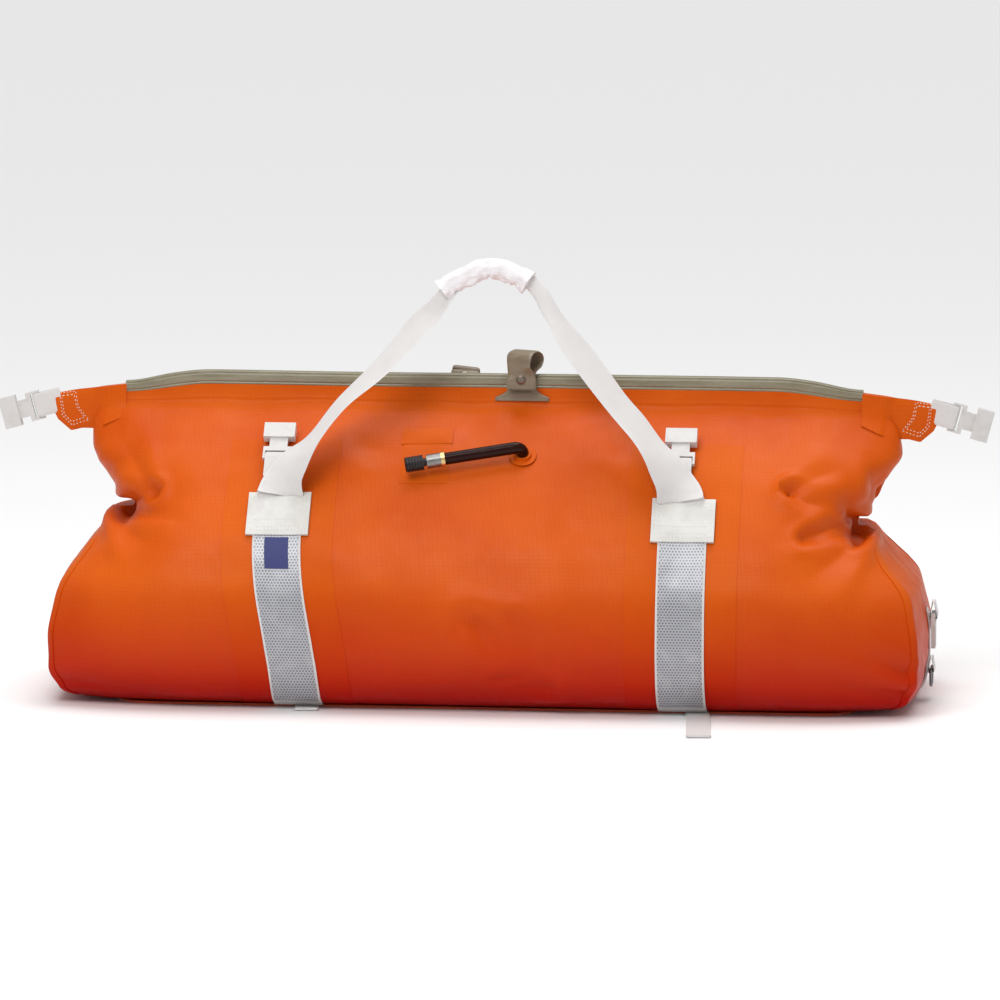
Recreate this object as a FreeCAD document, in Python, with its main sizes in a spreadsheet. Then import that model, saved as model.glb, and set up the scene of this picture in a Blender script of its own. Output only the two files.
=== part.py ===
"""A waterproof duffel bag: welded fabric shell, interlocking press-seal zip, webbing and buckles.

+X runs along the zip, -Y is the front and +Z is up. The base stands on Z = 0, under the middle
of the bag. Every size is in millimetres and comes from the sheet below. Front pieces are drawn
at -Y, and the matching rear piece is the same shape turned half round about Z.
"""
import FreeCAD, Part
import math
import os
import Sketcher

Vector = FreeCAD.Vector
Rotation = FreeCAD.Rotation
Placement = FreeCAD.Placement

os.makedirs("parts", exist_ok=True)
doc = FreeCAD.newDocument("duffel")

SIZES = {
    # shell: fabric, and how far the straight middle reaches along X
    "fabric": 1.6,
    "straight_half": 290.0,
    "base_thick": 2.0,
    "base_deep": 224.0,
    "base_corner": 40.0,
    "floor_under": 5.0,
    "floor_edge": 15.0,
    "end_seam": 398.0,
    "notch_height": 198.0,
    "shell_top": 300.0,
    # neck and zip
    "neck_gap": 0.5,
    "weld_line": 0.05,
    "zip_half": 392.0,
    "neck_foot": 15.0,
    "neck_top": 326.0,
    "zip_height": 15.0,
    "zip_thick": 5.6,
    "zip_gap": 0.3,
    "rib": 1.0,
    "groove_slack": 0.3,
    # webbing
    "web_thick": 1.4,
    "narrow_web": 25.4,
    "wide_web": 50.8,
    "strap_at": 212.0,
    "weld_band": 117.0,
    "weld_top": 274.0,
    "weld_thick": 1.0,
    "ply_gap": 0.2,
    # patches, label and tape
    "patch_wide": 66.0,
    "patch_low": 171.0,
    "patch_high": 220.0,
    "patch_thick": 2.6,
    "tape_thick": 0.4,
    "tape_wide": 44.0,
    "label_wide": 25.0,
    "label_low": 142.0,
    "label_high": 168.0,
    "label_thick": 0.5,
    "label_gap": 0.1,
    # side-release buckles
    "buckle_wide": 33.0,
    "buckle_deep": 10.0,
    "head_long": 18.0,
    "neck_wide": 19.0,
    "neck_long": 11.0,
    "frame_wide": 31.0,
    "frame_long": 15.0,
    "frame_deep": 4.6,
    "bar_thick": 3.2,
    "slot_long": 6.5,
    "slot_wide": 26.6,
    "bar_slack": 0.9,
    "socket_wide": 27.0,
    "socket_deep": 5.4,
    "prong_long": 22.0,
    "prong_wide": 5.0,
    "prong_at": 10.0,
    "buckle_height": 260.0,
    "buckle_slope": 43.0,
    "buckle_off": 13.0,
    "front_buckle_shift": 7.0,
    "bar_play": 0.5,
    "slope_legs": 16.0,
    # handles
    "handle_gap": 1.5,
    "handle_out": 6.0,
    "handle_rise": 252.0,
    "handle_lean": 14.0,
    "strap_thick": 2.4,
    "grip_long": 100.0,
    "grip_core": 15.0,
    "grip_wall": 2.6,
    "grip_round": 4.0,
    "grip_slack": 0.1,
    # pull loops
    "pull_at": 32.0,
    "loop_wide": 33.0,
    "loop_rise": 34.0,
    "loop_thick": 2.4,
    "loop_gap": 7.0,
    "foot_wide": 57.0,
    "rivet_radius": 5.0,
    "rivet_lift": 8.0,
    "rivet_front": 1.4,
    "rivet_back": 1.0,
    "loop_out": 15.0,
    "loop_lift": 3.0,
    "rear_lean": 55.0,
    "foot_out": 14.5,
    "foot_lift": 8.0,
    "foot_tall": 14.0,
    # end tabs and end hardware
    "tab_layer": 1.2,
    "tape_low": 14.0,
    "tape_high": 98.0,
    "tab_bar_at": 487.0,
    "tab_droop": 15.0,
    "tab_legs": 34.0,
    "layer_gap": 0.1,
    "ring_wire": 3.2,
    "ring_wide": 38.0,
    "end_buckle_at": 468.0,
    "end_buckle_height": 90.0,
    "end_ring_at": 466.0,
    "end_ring_height": 33.0,
    "end_legs": 14.0,
    "ring_legs": 12.0,
    # loose strap ends on the ground, measured forwards from the middle of the bag
    "tail_start": 114.0,
    "right_tail_at": 231.0,
    "right_tail_end": 262.0,
    "left_tail_at": -196.0,
    "left_tail_end": 140.0,
    # valve
    "tube_radius": 6.4,
    "elbow_at": 39.0,
    "valve_height": 262.0,
    "valve_out": 15.0,
    "valve_bend": 9.0,
    "flange_radius": 14.0,
    "flange_thick": 0.8,
    "flange_low": 0.6,
    "collar_radius": 9.0,
    "collar_high": 5.0,
    "tube_start": 1.7,
    "tube_reach": 82.0,
    "barrel_radius": 7.4,
    "barrel_long": 15.0,
    "ring_radius": 8.2,
    "ring_long": 4.0,
    "turn_slack": 0.05,
    "cap_radius": 8.2,
    "cap_long": 23.0,
    "cap_ribs": 6,
    "rib_depth": 0.8,
    "tube_bore": 4.4,
    "stem_radius": 3.0,
    "stem_long": 12.0,
    "waist_from": 0.6,
    "waist_to": 3.6,
    "waist_radius": 4.4,
    "valve_slope": 41.0,
    "valve_off": 2.6,
    "valve_droop": 13.0,
    "keeper_left": -89.0,
    "keeper_wide": 51.0,
    "keeper_low": 235.0,
    "keeper_high": 288.0,
    "keeper_gap": 0.3,
    "keeper_thick": 1.0,
}

# height, half length, half depth and end-panel half depth of the shell, from the floor upwards
LEVELS = (
    (5.0, 428.0, 118.0, 92.0),
    (16.0, 446.0, 138.0, 114.0),
    (40.0, 459.0, 157.0, 127.0),
    (72.0, 463.0, 165.0, 125.0),
    (112.0, 457.0, 163.0, 108.0),
    (158.0, 434.0, 148.0, 70.0),
    (203.0, 386.0, 120.0, 10.0),
    (245.0, 394.0, 84.0, 6.0),
    (282.0, 412.0, 40.0, 5.0),
    (300.0, 418.0, 16.0, 4.5),
)
FAR = 700.0  # past the bag in every direction
REAR_RISE = 0.72  # the rear handle folds, so it reaches this share of the front one's height
# end tab corners: distance beyond its inner edge, and height above the top of the shell
TAB_CORNERS = ((0, 2), (0, 25), (80, 16), (78, -8), (66, -21), (42, -21), (29, -12), (29, 2))


def make_sheet():
    """The driving dimensions, one row each, with the name as the alias."""
    table = doc.addObject("Spreadsheet::Sheet", "dims")
    for row, (alias, size) in enumerate(SIZES.items(), start=1):
        table.set(f"A{row}", alias)
        table.set(f"B{row}", str(size))
        table.setAlias(f"B{row}", alias)
    doc.recompute()
    return table


dims = make_sheet()


def size(alias):
    return float(getattr(dims, alias))


# ---- helpers for bodies made from sketches ----


def new_body(name):
    body = doc.addObject("PartDesign::Body", name)
    body.Label = name
    return body


def new_sketch(body, name, role, shift=(0, 0, 0)):
    """A sketch on one of the body's own origin planes, moved by shift in the plane's axes."""
    plane = [part for part in body.Origin.OriginFeatures if part.Role == role][0]
    sketch = body.newObject("Sketcher::SketchObject", name)
    sketch.AttachmentSupport = [(plane, "")]
    sketch.MapMode = "FlatFace"
    sketch.AttachmentOffset = Placement(Vector(*shift), Rotation())
    return sketch


def draw_outline(sketch, corners):
    """Straight edges through the corners, joined up and closed."""
    count = len(corners)
    for here, there in zip(corners, corners[1:] + corners[:1]):
        sketch.addGeometry(Part.LineSegment(Vector(*here, 0), Vector(*there, 0)))
    first = sketch.GeometryCount - count
    for edge in range(count):
        after = first + (edge + 1) % count
        sketch.addConstraint(Sketcher.Constraint("Coincident", first + edge, 2, after, 1))
    return first


def draw_rectangle(sketch, wide, tall):
    """A rectangle about the sketch origin whose sides are bound to two expressions."""
    first = draw_outline(sketch, [(-1, -1), (1, -1), (1, 1), (-1, 1)])
    for edge, kind in enumerate(("Horizontal", "Vertical", "Horizontal", "Vertical")):
        sketch.addConstraint(Sketcher.Constraint(kind, first + edge))
    sketch.addConstraint(Sketcher.Constraint("Symmetric", first, 1, first + 2, 1, -1, 1))
    for kind, edge, expression in (("DistanceX", first, wide), ("DistanceY", first + 1, tall)):
        place = sketch.addConstraint(Sketcher.Constraint(kind, edge, 1, edge, 2, 2.0))
        sketch.setExpression(f"Constraints[{place}]", expression)


def draw_circle(sketch, radius):
    """A circle about the sketch origin whose radius is bound to an expression."""
    sketch.addGeometry(Part.Circle(Vector(0, 0, 0), Vector(0, 0, 1), 1.0))
    sketch.addConstraint(Sketcher.Constraint("Coincident", 0, 3, -1, 1))
    place = sketch.addConstraint(Sketcher.Constraint("Radius", 0, 1.0))
    sketch.setExpression(f"Constraints[{place}]", radius)


def add_pad(body, sketch, length, both_ways=True):
    """A pad of the sketch, half to each side of it or all along its normal."""
    pad = body.newObject("PartDesign::Pad", sketch.Name + "_pad")
    pad.Profile = sketch
    pad.Midplane = both_ways
    pad.setExpression("Length", length)
    doc.recompute()
    return pad


def add_pocket(body, sketch):
    """A cut right through the body, to both sides of the sketch."""
    pocket = body.newObject("PartDesign::Pocket", sketch.Name + "_cut")
    pocket.Profile = sketch
    pocket.Midplane = True
    pocket.Type = 1
    doc.recompute()
    return pocket


def place_piece(piece, at, rotation=None):
    piece.Placement = Placement(Vector(*at), rotation or Rotation())
    return piece


def half_turn(piece):
    """Carries a front piece to the rear."""
    turn = Placement(Vector(0, 0, 0), Rotation(Vector(0, 0, 1), 180))
    piece.Placement = turn.multiply(piece.Placement)
    return piece


def new_shape(name, shape):
    """A piece whose form is a freely curved sheet, which no sketched feature gives."""
    solids = shape.Solids
    piece = doc.addObject("Part::Feature", name)
    piece.Label = name
    piece.Shape = solids[0] if len(solids) == 1 else Part.makeCompound(solids)
    return piece


# ---- the shell as a stack of level outlines ----


def corner_curve(sx, sy, height, half_long, half_deep, end_deep):
    """The curve that carries a long side round to a blunt end, in the quarter given by the signs."""
    straight = size("straight_half")
    span = half_long - straight
    drop = half_deep - end_deep
    curve = Part.BezierCurve()
    curve.setPoles(
        [
            Vector(sx * straight, sy * half_deep, height),
            Vector(sx * (straight + 0.6 * span), sy * half_deep, height),
            Vector(sx * half_long, sy * (end_deep + 0.45 * drop), height),
            Vector(sx * half_long, sy * end_deep, height),
        ]
    )
    return curve.toShape(), curve.getPole(1), curve.getPole(4)


def level_outline(height, half_long, half_deep, end_deep, whole):
    """One level of the shell, either whole or only its front half closed along Y = 0."""
    numbers = (height, half_long, half_deep, end_deep)
    right, right_side, right_end = corner_curve(1, -1, *numbers)
    left, left_side, left_end = corner_curve(-1, -1, *numbers)
    edges = [right, left, Part.makeLine(right_side, left_side)]
    if whole:
        back_right, right_back_side, right_back_end = corner_curve(1, 1, *numbers)
        back_left, left_back_side, left_back_end = corner_curve(-1, 1, *numbers)
        edges += [back_right, back_left, Part.makeLine(right_back_side, left_back_side)]
    else:
        right_back_end = Vector(half_long, 0, height)
        left_back_end = Vector(-half_long, 0, height)
        edges.append(Part.makeLine(right_back_end, left_back_end))
    edges.append(Part.makeLine(right_end, right_back_end))
    edges.append(Part.makeLine(left_end, left_back_end))
    return Part.Wire(Part.__sortEdges__(edges))


def envelope(offset, whole=True):
    """The filled shell, grown all round and downwards by offset."""
    outlines = []
    for number, (height, half_long, half_deep, end_deep) in enumerate(LEVELS):
        low = height - offset if number == 0 else height
        grown = (half_long + offset, half_deep + offset, end_deep + offset)
        outlines.append(level_outline(low, *grown, whole))
    return Part.makeLoft(outlines, True, False)


def half_depth(height):
    """Half depth of the middle of the shell at a height."""
    for (low, _, near, _), (high, _, far, _) in zip(LEVELS, LEVELS[1:]):
        if low <= height <= high:
            return near + (far - near) * (height - low) / (high - low)
    return LEVELS[-1][2]


def block(x0, x1, y0, y1, z0, z1):
    return Part.makeBox(x1 - x0, y1 - y0, z1 - z0, Vector(x0, y0, z0))


def skin(inner, outer, *blocks):
    """The sheet between two envelopes, inside the given blocks."""
    sheet = envelope(outer).cut(envelope(inner))
    keep = blocks[0] if len(blocks) == 1 else blocks[0].fuse(list(blocks[1:]))
    return sheet.common(keep)


# ---- shell ----


def end_block(side):
    seam, notch, edge = size("end_seam"), size("notch_height"), size("floor_edge")
    x0, x1 = (seam, FAR) if side > 0 else (-FAR, -seam)
    return block(x0, x1, -FAR, FAR, edge, notch)


def make_shell():
    """Front and rear panels, the floor, and an end panel each side."""
    shell = envelope(0.0).cut(envelope(-size("fabric")))
    edge, top = size("floor_edge"), size("shell_top")
    ends = [end_block(side) for side in (-1, 1)]
    half = envelope(0.0, whole=False).cut(envelope(-size("fabric"), whole=False))
    front = half.common(block(-FAR, FAR, -FAR, FAR, edge, top + 1)).cut(ends[0]).cut(ends[1])
    new_shape("front_panel", front)
    half_turn(new_shape("rear_panel", front))
    new_shape("floor_panel", shell.common(block(-FAR, FAR, -FAR, FAR, 0, edge)))
    new_shape("end_panel_right", shell.common(ends[1]))
    half_turn(new_shape("end_panel_left", shell.common(ends[1])))


def make_base():
    """The flat outer base ply, with rounded corners, that the bag stands on."""
    body = new_body("base_ply")
    sketch = new_sketch(body, "base_outline", "XY_Plane")
    draw_rectangle(sketch, "2 * dims.zip_half", "dims.base_deep")
    pad = add_pad(body, sketch, "dims.base_thick", both_ways=False)
    corners = [
        f"Edge{number}"
        for number, edge in enumerate(pad.Shape.Edges, start=1)
        if abs(edge.Vertexes[0].Z - edge.Vertexes[1].Z) > 1
    ]
    fillet = body.newObject("PartDesign::Fillet", "base_corners")
    fillet.Base = (pad, corners)
    fillet.setExpression("Radius", "dims.base_corner")


# ---- belly straps, weld bands, patches, tapes and label ----


def strap_span(side, wide):
    centre = side * size("strap_at")
    return centre - wide / 2, centre + wide / 2


def make_strap_set(side, name):
    """Everything that wraps the belly at one strap station, from the shell outwards."""
    gap, web = size("ply_gap"), size("web_thick")
    weld_out = gap + size("weld_thick")
    strap_in = weld_out + gap
    x0, x1 = strap_span(side, size("weld_band"))
    weld = skin(gap, weld_out, block(x0, x1, -FAR, FAR, 0, size("weld_top")))
    new_shape(f"weld_band_{name}", weld)
    x0, x1 = strap_span(side, size("wide_web"))
    strap = skin(strap_in, strap_in + web, block(x0, x1, -FAR, FAR, 0, size("patch_low") - 1))
    new_shape(f"belly_strap_{name}", strap)
    x0, x1 = strap_span(side, size("tape_wide"))
    tape_in = strap_in + web
    edge, low = size("floor_edge"), size("patch_low")
    tape = skin(tape_in, tape_in + size("tape_thick"), block(x0, x1, -FAR, 0, edge, low - 2))
    new_shape(f"reflective_tape_front_{name}", tape)
    x0, x1 = strap_span(side, size("patch_wide"))
    patch_out = strap_in + size("patch_thick")
    patch = skin(strap_in, patch_out, block(x0, x1, -FAR, 0, low, size("patch_high")))
    new_shape(f"handle_patch_front_{name}", patch)


def copy_to_rear(front_name, rear_name):
    half_turn(new_shape(rear_name, doc.getObject(front_name).Shape))


def make_label():
    """A small woven label on the left front strap."""
    gap, web = size("ply_gap"), size("web_thick")
    inner = 2 * gap + size("weld_thick") + web + size("tape_thick") + size("label_gap")
    x0, x1 = strap_span(-1, size("label_wide"))
    spot = block(x0, x1, -FAR, 0, size("label_low"), size("label_high"))
    new_shape("woven_label", skin(inner, inner + size("label_thick"), spot))


def make_tail(name):
    """The loose end of a front strap, lying on the ground and poking out from under the bag."""
    body = new_body(name)
    sketch = new_sketch(body, name + "_outline", "XY_Plane")
    side = name.removeprefix("tail_")
    draw_rectangle(sketch, "dims.narrow_web", f"dims.{side}_tail_end - dims.tail_start")
    add_pad(body, sketch, "dims.web_thick", both_ways=False)
    middle = (size("tail_start") + size(f"{side}_tail_end")) / 2
    place_piece(body, (size(f"{side}_tail_at"), -middle, 0))


# ---- neck and zip ----


def make_neck(name):
    """The orange band that joins the shell to one lip of the zip, seen along X as a thin slope."""
    body = new_body(name)
    sketch = new_sketch(body, name + "_outline", "YZ_Plane")
    foot, top = size("neck_foot"), size("neck_top")
    start = size("shell_top") + size("neck_gap")
    thin = size("fabric")
    inner = size("zip_gap") + size("zip_thick") - thin
    draw_outline(sketch, [(-foot, start), (-foot + thin, start), (-inner, top), (-inner - thin, top)])
    add_pad(body, sketch, "2 * dims.zip_half")
    return body


def make_zip_lip(name, tongue):
    """One lip of the press-seal zip: a bar with outer ribs, and a tongue or a groove inside."""
    body = new_body(name)
    sketch = new_sketch(body, name + "_outline", "YZ_Plane")
    back = -size("zip_gap")
    face = back - size("zip_thick")
    low = size("neck_top") + size("weld_line")
    rise = size("zip_height") / 5
    rib = size("rib")
    points = [(back, low), (face, low)]
    for number in (1, 3):
        points += [(face, low + number * rise), (face - rib, low + (number + 0.5) * rise)]
        points += [(face, low + (number + 1) * rise)]
    top = low + size("zip_height")
    points += [(face, top), (back, top)]
    middle = (low + top) / 2
    slack = 0.0 if tongue else size("groove_slack")
    reach = rib if tongue else -rib - slack
    points += [(back, middle + rib + slack), (back + reach, middle), (back, middle - rib - slack)]
    draw_outline(sketch, points)
    add_pad(body, sketch, "2 * dims.zip_half")
    return body


def make_pull_foot(name):
    """The flared foot of a pull loop, flat on the neck band just below the zip."""
    body = new_body(name)
    sketch = new_sketch(body, name + "_outline", "XZ_Plane")
    wide, narrow, tall = size("foot_wide") / 2, size("loop_wide") / 2, size("foot_tall")
    draw_outline(sketch, [(-wide, 0), (wide, 0), (narrow, tall), (-narrow, tall)])
    add_pad(body, sketch, "dims.loop_thick", both_ways=False)
    rise = size("neck_top") - size("shell_top")
    slope = math.degrees(math.atan2(size("neck_foot") - size("zip_thick"), rise))
    at = (size("pull_at"), -size("foot_out"), size("shell_top") + size("foot_lift"))
    place_piece(body, at, Rotation(Vector(1, 0, 0), -slope))
    return body


def hairpin(sketch, half_gap, thick, rise):
    """A strip folded over: two legs down to zero height and a half round on top."""
    top = rise - half_gap - thick
    outer, inner = half_gap + thick, half_gap
    lines = (
        ((-outer, 0), (-outer, top)),
        ((outer, top), (outer, 0)),
        ((outer, 0), (inner, 0)),
        ((inner, 0), (inner, top)),
        ((-inner, top), (-inner, 0)),
        ((-inner, 0), (-outer, 0)),
    )
    for here, there in lines:
        sketch.addGeometry(Part.LineSegment(Vector(*here, 0), Vector(*there, 0)))
    for radius in (outer, inner):
        circle = Part.Circle(Vector(0, top, 0), Vector(0, 0, 1), radius)
        sketch.addGeometry(Part.ArcOfCircle(circle, 0, math.pi))


def pull_spot(lift, lean):
    """A place on a pull loop that leans away from the zip, and its rotation."""
    turn = Rotation(Vector(1, 0, 0), lean)
    foot = Vector(size("pull_at"), -size("loop_out"), size("neck_top") + size("loop_lift"))
    return foot + turn.multVec(Vector(0, 0, lift)), turn


def make_pull_loop(name, lean):
    """The finger loop of a pull, standing up in front of the zip."""
    body = new_body(name)
    sketch = new_sketch(body, name + "_outline", "YZ_Plane")
    hairpin(sketch, size("loop_gap") / 2, size("loop_thick"), size("loop_rise"))
    pad = add_pad(body, sketch, "dims.loop_wide")
    hole = new_sketch(body, name + "_hole", "XZ_Plane", (0, size("rivet_lift"), 0))
    draw_circle(hole, "dims.rivet_radius / 2")
    add_pocket(body, hole)
    place_piece(body, *pull_spot(0.0, lean))
    return body


def make_rivet(name, lean):
    """The rivet that closes the loop: a shank between two domed heads."""
    body = new_body(name)
    sketch = new_sketch(body, name + "_outline", "XY_Plane")
    shank, head = size("rivet_radius") / 2, size("rivet_radius")
    half = size("loop_gap") / 2 + size("loop_thick")
    front, back, flat = -half - size("rivet_front"), half + size("rivet_back"), head * 0.6
    near = [(0, front), (flat, front), (head, -half), (shank, -half)]
    far = [(shank, half), (head, half), (flat, back), (0, back)]
    draw_outline(sketch, near + far)
    turned = body.newObject("PartDesign::Revolution", name + "_turned")
    turned.Profile = sketch
    turned.ReferenceAxis = (sketch, ["V_Axis"])
    turned.Angle = 360
    place_piece(body, *pull_spot(size("rivet_lift"), lean))
    return body


# ---- handles ----


def handle_outline(rise, grip_half, core):
    """The strap seen flat: two arms rising inwards from the patches to a narrow middle."""
    station, half = size("strap_at"), size("wide_web") / 2
    outer = [
        Vector(-station - half, 0, 0),
        Vector(-station - half * 0.4, 0, rise * 0.25),
        Vector(-station * 0.66, 0, rise * 0.56),
        Vector(-grip_half - 14, 0, rise - core * 1.4),
        Vector(-grip_half - 2, 0, rise),
    ]
    inner = [
        Vector(-station + half, 0, 0),
        Vector(-station + half * 1.1, 0, rise * 0.20),
        Vector(-station * 0.54, 0, rise * 0.50),
        Vector(-grip_half * 1.1, 0, rise - core * 2.2),
        Vector(-grip_half - 2, 0, rise - core),
    ]
    edges = []
    for sign in (1, -1):
        for points in (outer, inner):
            curve = Part.BSplineCurve()
            curve.interpolate([Vector(sign * p.x, 0, p.z) for p in points])
            edges.append(curve.toShape())
        first, last = outer[0], inner[0]
        edges.append(Part.makeLine(Vector(sign * first.x, 0, 0), Vector(sign * last.x, 0, 0)))
    for points in (outer, inner):
        end = points[-1]
        edges.append(Part.makeLine(end, Vector(-end.x, 0, end.z)))
    return Part.Face(Part.Wire(Part.__sortEdges__(edges)))


def make_front_handle():
    """The front handle stands up from the patches and leans back towards the zip."""
    thick = size("strap_thick")
    face = handle_outline(size("handle_rise"), size("grip_long") / 2, size("grip_core"))
    strap = new_shape("front_handle_strap", face.extrude(Vector(0, -thick, 0)))
    foot = size("patch_high") + size("handle_gap")
    out = half_depth(foot) + size("handle_out")
    lean = Rotation(Vector(1, 0, 0), -size("handle_lean"))
    place_piece(strap, (0, -out, foot), lean)
    middle = size("handle_rise") - size("grip_core") / 2
    sleeve = make_sleeve("front_grip_sleeve")
    spot = lean.multVec(Vector(0, -thick / 2, middle))
    place_piece(sleeve, (spot.x, spot.y - out, spot.z + foot), lean)


def make_sleeve(name):
    """The soft sleeve round the folded middle of a handle: a flattened tube along X."""
    body = new_body(name)
    sketch = new_sketch(body, name + "_outside", "YZ_Plane")
    draw_rectangle(
        sketch,
        "dims.strap_thick + 3 * dims.grip_wall",
        "dims.grip_core + 2 * dims.grip_wall",
    )
    pad = add_pad(body, sketch, "dims.grip_long")
    long_edges = [
        f"Edge{number}"
        for number, edge in enumerate(pad.Shape.Edges, start=1)
        if abs(edge.Vertexes[0].X - edge.Vertexes[1].X) > 1
    ]
    fillet = body.newObject("PartDesign::Fillet", name + "_round")
    fillet.Base = (pad, long_edges)
    fillet.setExpression("Radius", "dims.grip_round")
    doc.recompute()
    bore = new_sketch(body, name + "_inside", "YZ_Plane")
    draw_rectangle(bore, "dims.strap_thick + dims.grip_slack", "dims.grip_core + dims.grip_slack")
    add_pocket(body, bore)
    return body


def make_rear_handle():
    """The rear handle hangs down and lies on the rear of the belly."""
    thick = size("strap_thick")
    rise = REAR_RISE * size("handle_rise")
    foot = size("patch_high") + size("handle_gap")
    face = handle_outline(rise, size("grip_long") / 2, size("grip_core"))
    face.translate(Vector(0, 0, -foot))
    face.rotate(Vector(0, 0, 0), Vector(0, 1, 0), 180)
    column = face.extrude(Vector(0, FAR, 0))
    off = size("handle_out")
    strap = skin(off, off + thick, column)
    new_shape("rear_handle_strap", strap)
    grip_z = foot - rise + size("grip_core") / 2
    sleeve = make_sleeve("rear_grip_sleeve")
    near = size("grip_core") / 2
    slope = math.degrees(math.atan2(half_depth(grip_z - near) - half_depth(grip_z + near), 2 * near))
    out = half_depth(grip_z) + off + thick / 2
    place_piece(sleeve, (0, out, grip_z), Rotation(Vector(1, 0, 0), slope))


# ---- buckles ----


def pad_plate(body, name, wide, long, low, deep):
    """A plate in the body's XZ plane, from height low upwards, centred on the plane."""
    sketch = new_sketch(body, name, "XZ_Plane", (0, low + size_of(long) / 2, 0))
    draw_rectangle(sketch, wide, long)
    return add_pad(body, sketch, deep)


def size_of(expression):
    """The length of a plain 'dims.name' expression."""
    return size(expression.split(".")[1])


def cut_slot(body, name, low):
    """A webbing slot through a buckle frame."""
    slot = new_sketch(body, name, "XZ_Plane", (0, low + size("slot_long") / 2, 0))
    draw_rectangle(slot, "dims.slot_wide", "dims.slot_long")
    add_pocket(body, slot)


def make_female_buckle(name):
    """Side-release socket: frame with a webbing slot, narrow neck, and an open-mouthed head."""
    body = new_body(name)
    bar = size("bar_thick")
    neck_low = size("frame_long") - bar
    head_low = neck_low + size("neck_long")
    pad_plate(body, name + "_frame", "dims.frame_wide", "dims.frame_long", -bar, "dims.frame_deep")
    pad_plate(body, name + "_neck", "dims.neck_wide", "dims.neck_long", neck_low, "dims.frame_deep")
    pad_plate(body, name + "_head", "dims.buckle_wide", "dims.head_long", head_low, "dims.buckle_deep")
    cut_slot(body, name + "_slot", 0.0)
    mouth = new_sketch(body, name + "_mouth", "XY_Plane", (0, 0, head_low + size("head_long")))
    draw_rectangle(mouth, "dims.socket_wide", "dims.socket_deep")
    socket = body.newObject("PartDesign::Pocket", name + "_socket")
    socket.Profile = mouth
    socket.setExpression("Length", "dims.head_long - 2")
    doc.recompute()
    return body


def make_male_buckle(name):
    """Side-release plug: a two-bar adjuster frame with two prongs and a middle guide."""
    body = new_body(name)
    bar = size("bar_thick")
    top = size("frame_long") - bar
    pad_plate(body, name + "_frame", "dims.frame_wide", "dims.frame_long", -bar, "dims.frame_deep")
    pad_plate(body, name + "_guide", "dims.prong_wide", "dims.prong_long", top, "dims.frame_deep")
    for number, shift in enumerate((-size("prong_at"), size("prong_at"))):
        prong = new_sketch(
            body, f"{name}_prong{number}", "XZ_Plane", (shift, top + size("prong_long") / 2, 0)
        )
        draw_rectangle(prong, "dims.prong_wide", "dims.prong_long")
        add_pad(body, prong, "dims.frame_deep")
    cut_slot(body, name + "_slot", 0.0)
    return body


def make_web_loop(name, rise, bar_deep):
    """Webbing folded round a bar: its fold is at the origin and its legs hang down."""
    body = new_body(name)
    sketch = new_sketch(body, name + "_outline", "YZ_Plane", (0, -rise, 0))
    half_gap = bar_deep / 2 + size("bar_slack")
    hairpin(sketch, half_gap, size("web_thick"), rise + half_gap + size("web_thick"))
    add_pad(body, sketch, "dims.narrow_web")
    return body


def make_slope_buckle(across, name, maker):
    """A buckle on a webbing loop that lies up the slope above a handle patch, this far to the right."""
    fold = size("buckle_height")
    lie = Rotation(Vector(1, 0, 0), -size("buckle_slope"))
    at = Vector(across, -(half_depth(fold) + size("buckle_off")), fold)
    web = make_web_loop(f"buckle_web_{name}", size("slope_legs"), size("frame_deep"))
    place_piece(web, at, lie)
    buckle = maker(f"buckle_{name}")
    place_piece(buckle, at + lie.multVec(Vector(0, 0, -size("bar_play"))), lie)
    return web, buckle


# ---- end tabs and end hardware ----


def make_tab_layer(name, near):
    """One fabric layer of an end tab, carrying on the line of the zip."""
    body = new_body(name)
    sketch = new_sketch(body, name + "_outline", "XZ_Plane", (0, 0, -near))
    inner, top = size("zip_half") + 2, size("shell_top")
    draw_outline(sketch, [(inner + along, top + rise) for along, rise in TAB_CORNERS])
    add_pad(body, sketch, "dims.tab_layer", both_ways=False)
    return body


def make_end_tab(name):
    """Two fabric layers, and a webbing loop that holds a socket buckle out from the end."""
    half_web = size("web_thick") / 2 + size("layer_gap")
    layers = [
        make_tab_layer(f"tab_front_{name}", -half_web),
        make_tab_layer(f"tab_back_{name}", half_web + size("tab_layer")),
    ]
    droop = Rotation(Vector(0, 1, 0), 90 + size("tab_droop"))
    at = Vector(size("tab_bar_at"), 0, size("shell_top") + 1)
    web = make_web_loop(f"tab_web_{name}", size("tab_legs"), size("frame_deep"))
    place_piece(web, at, droop)
    buckle = make_female_buckle(f"tab_buckle_{name}")
    place_piece(buckle, at + droop.multVec(Vector(0, 0, -size("bar_play"))), droop)
    return [*layers, web, buckle]


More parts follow.
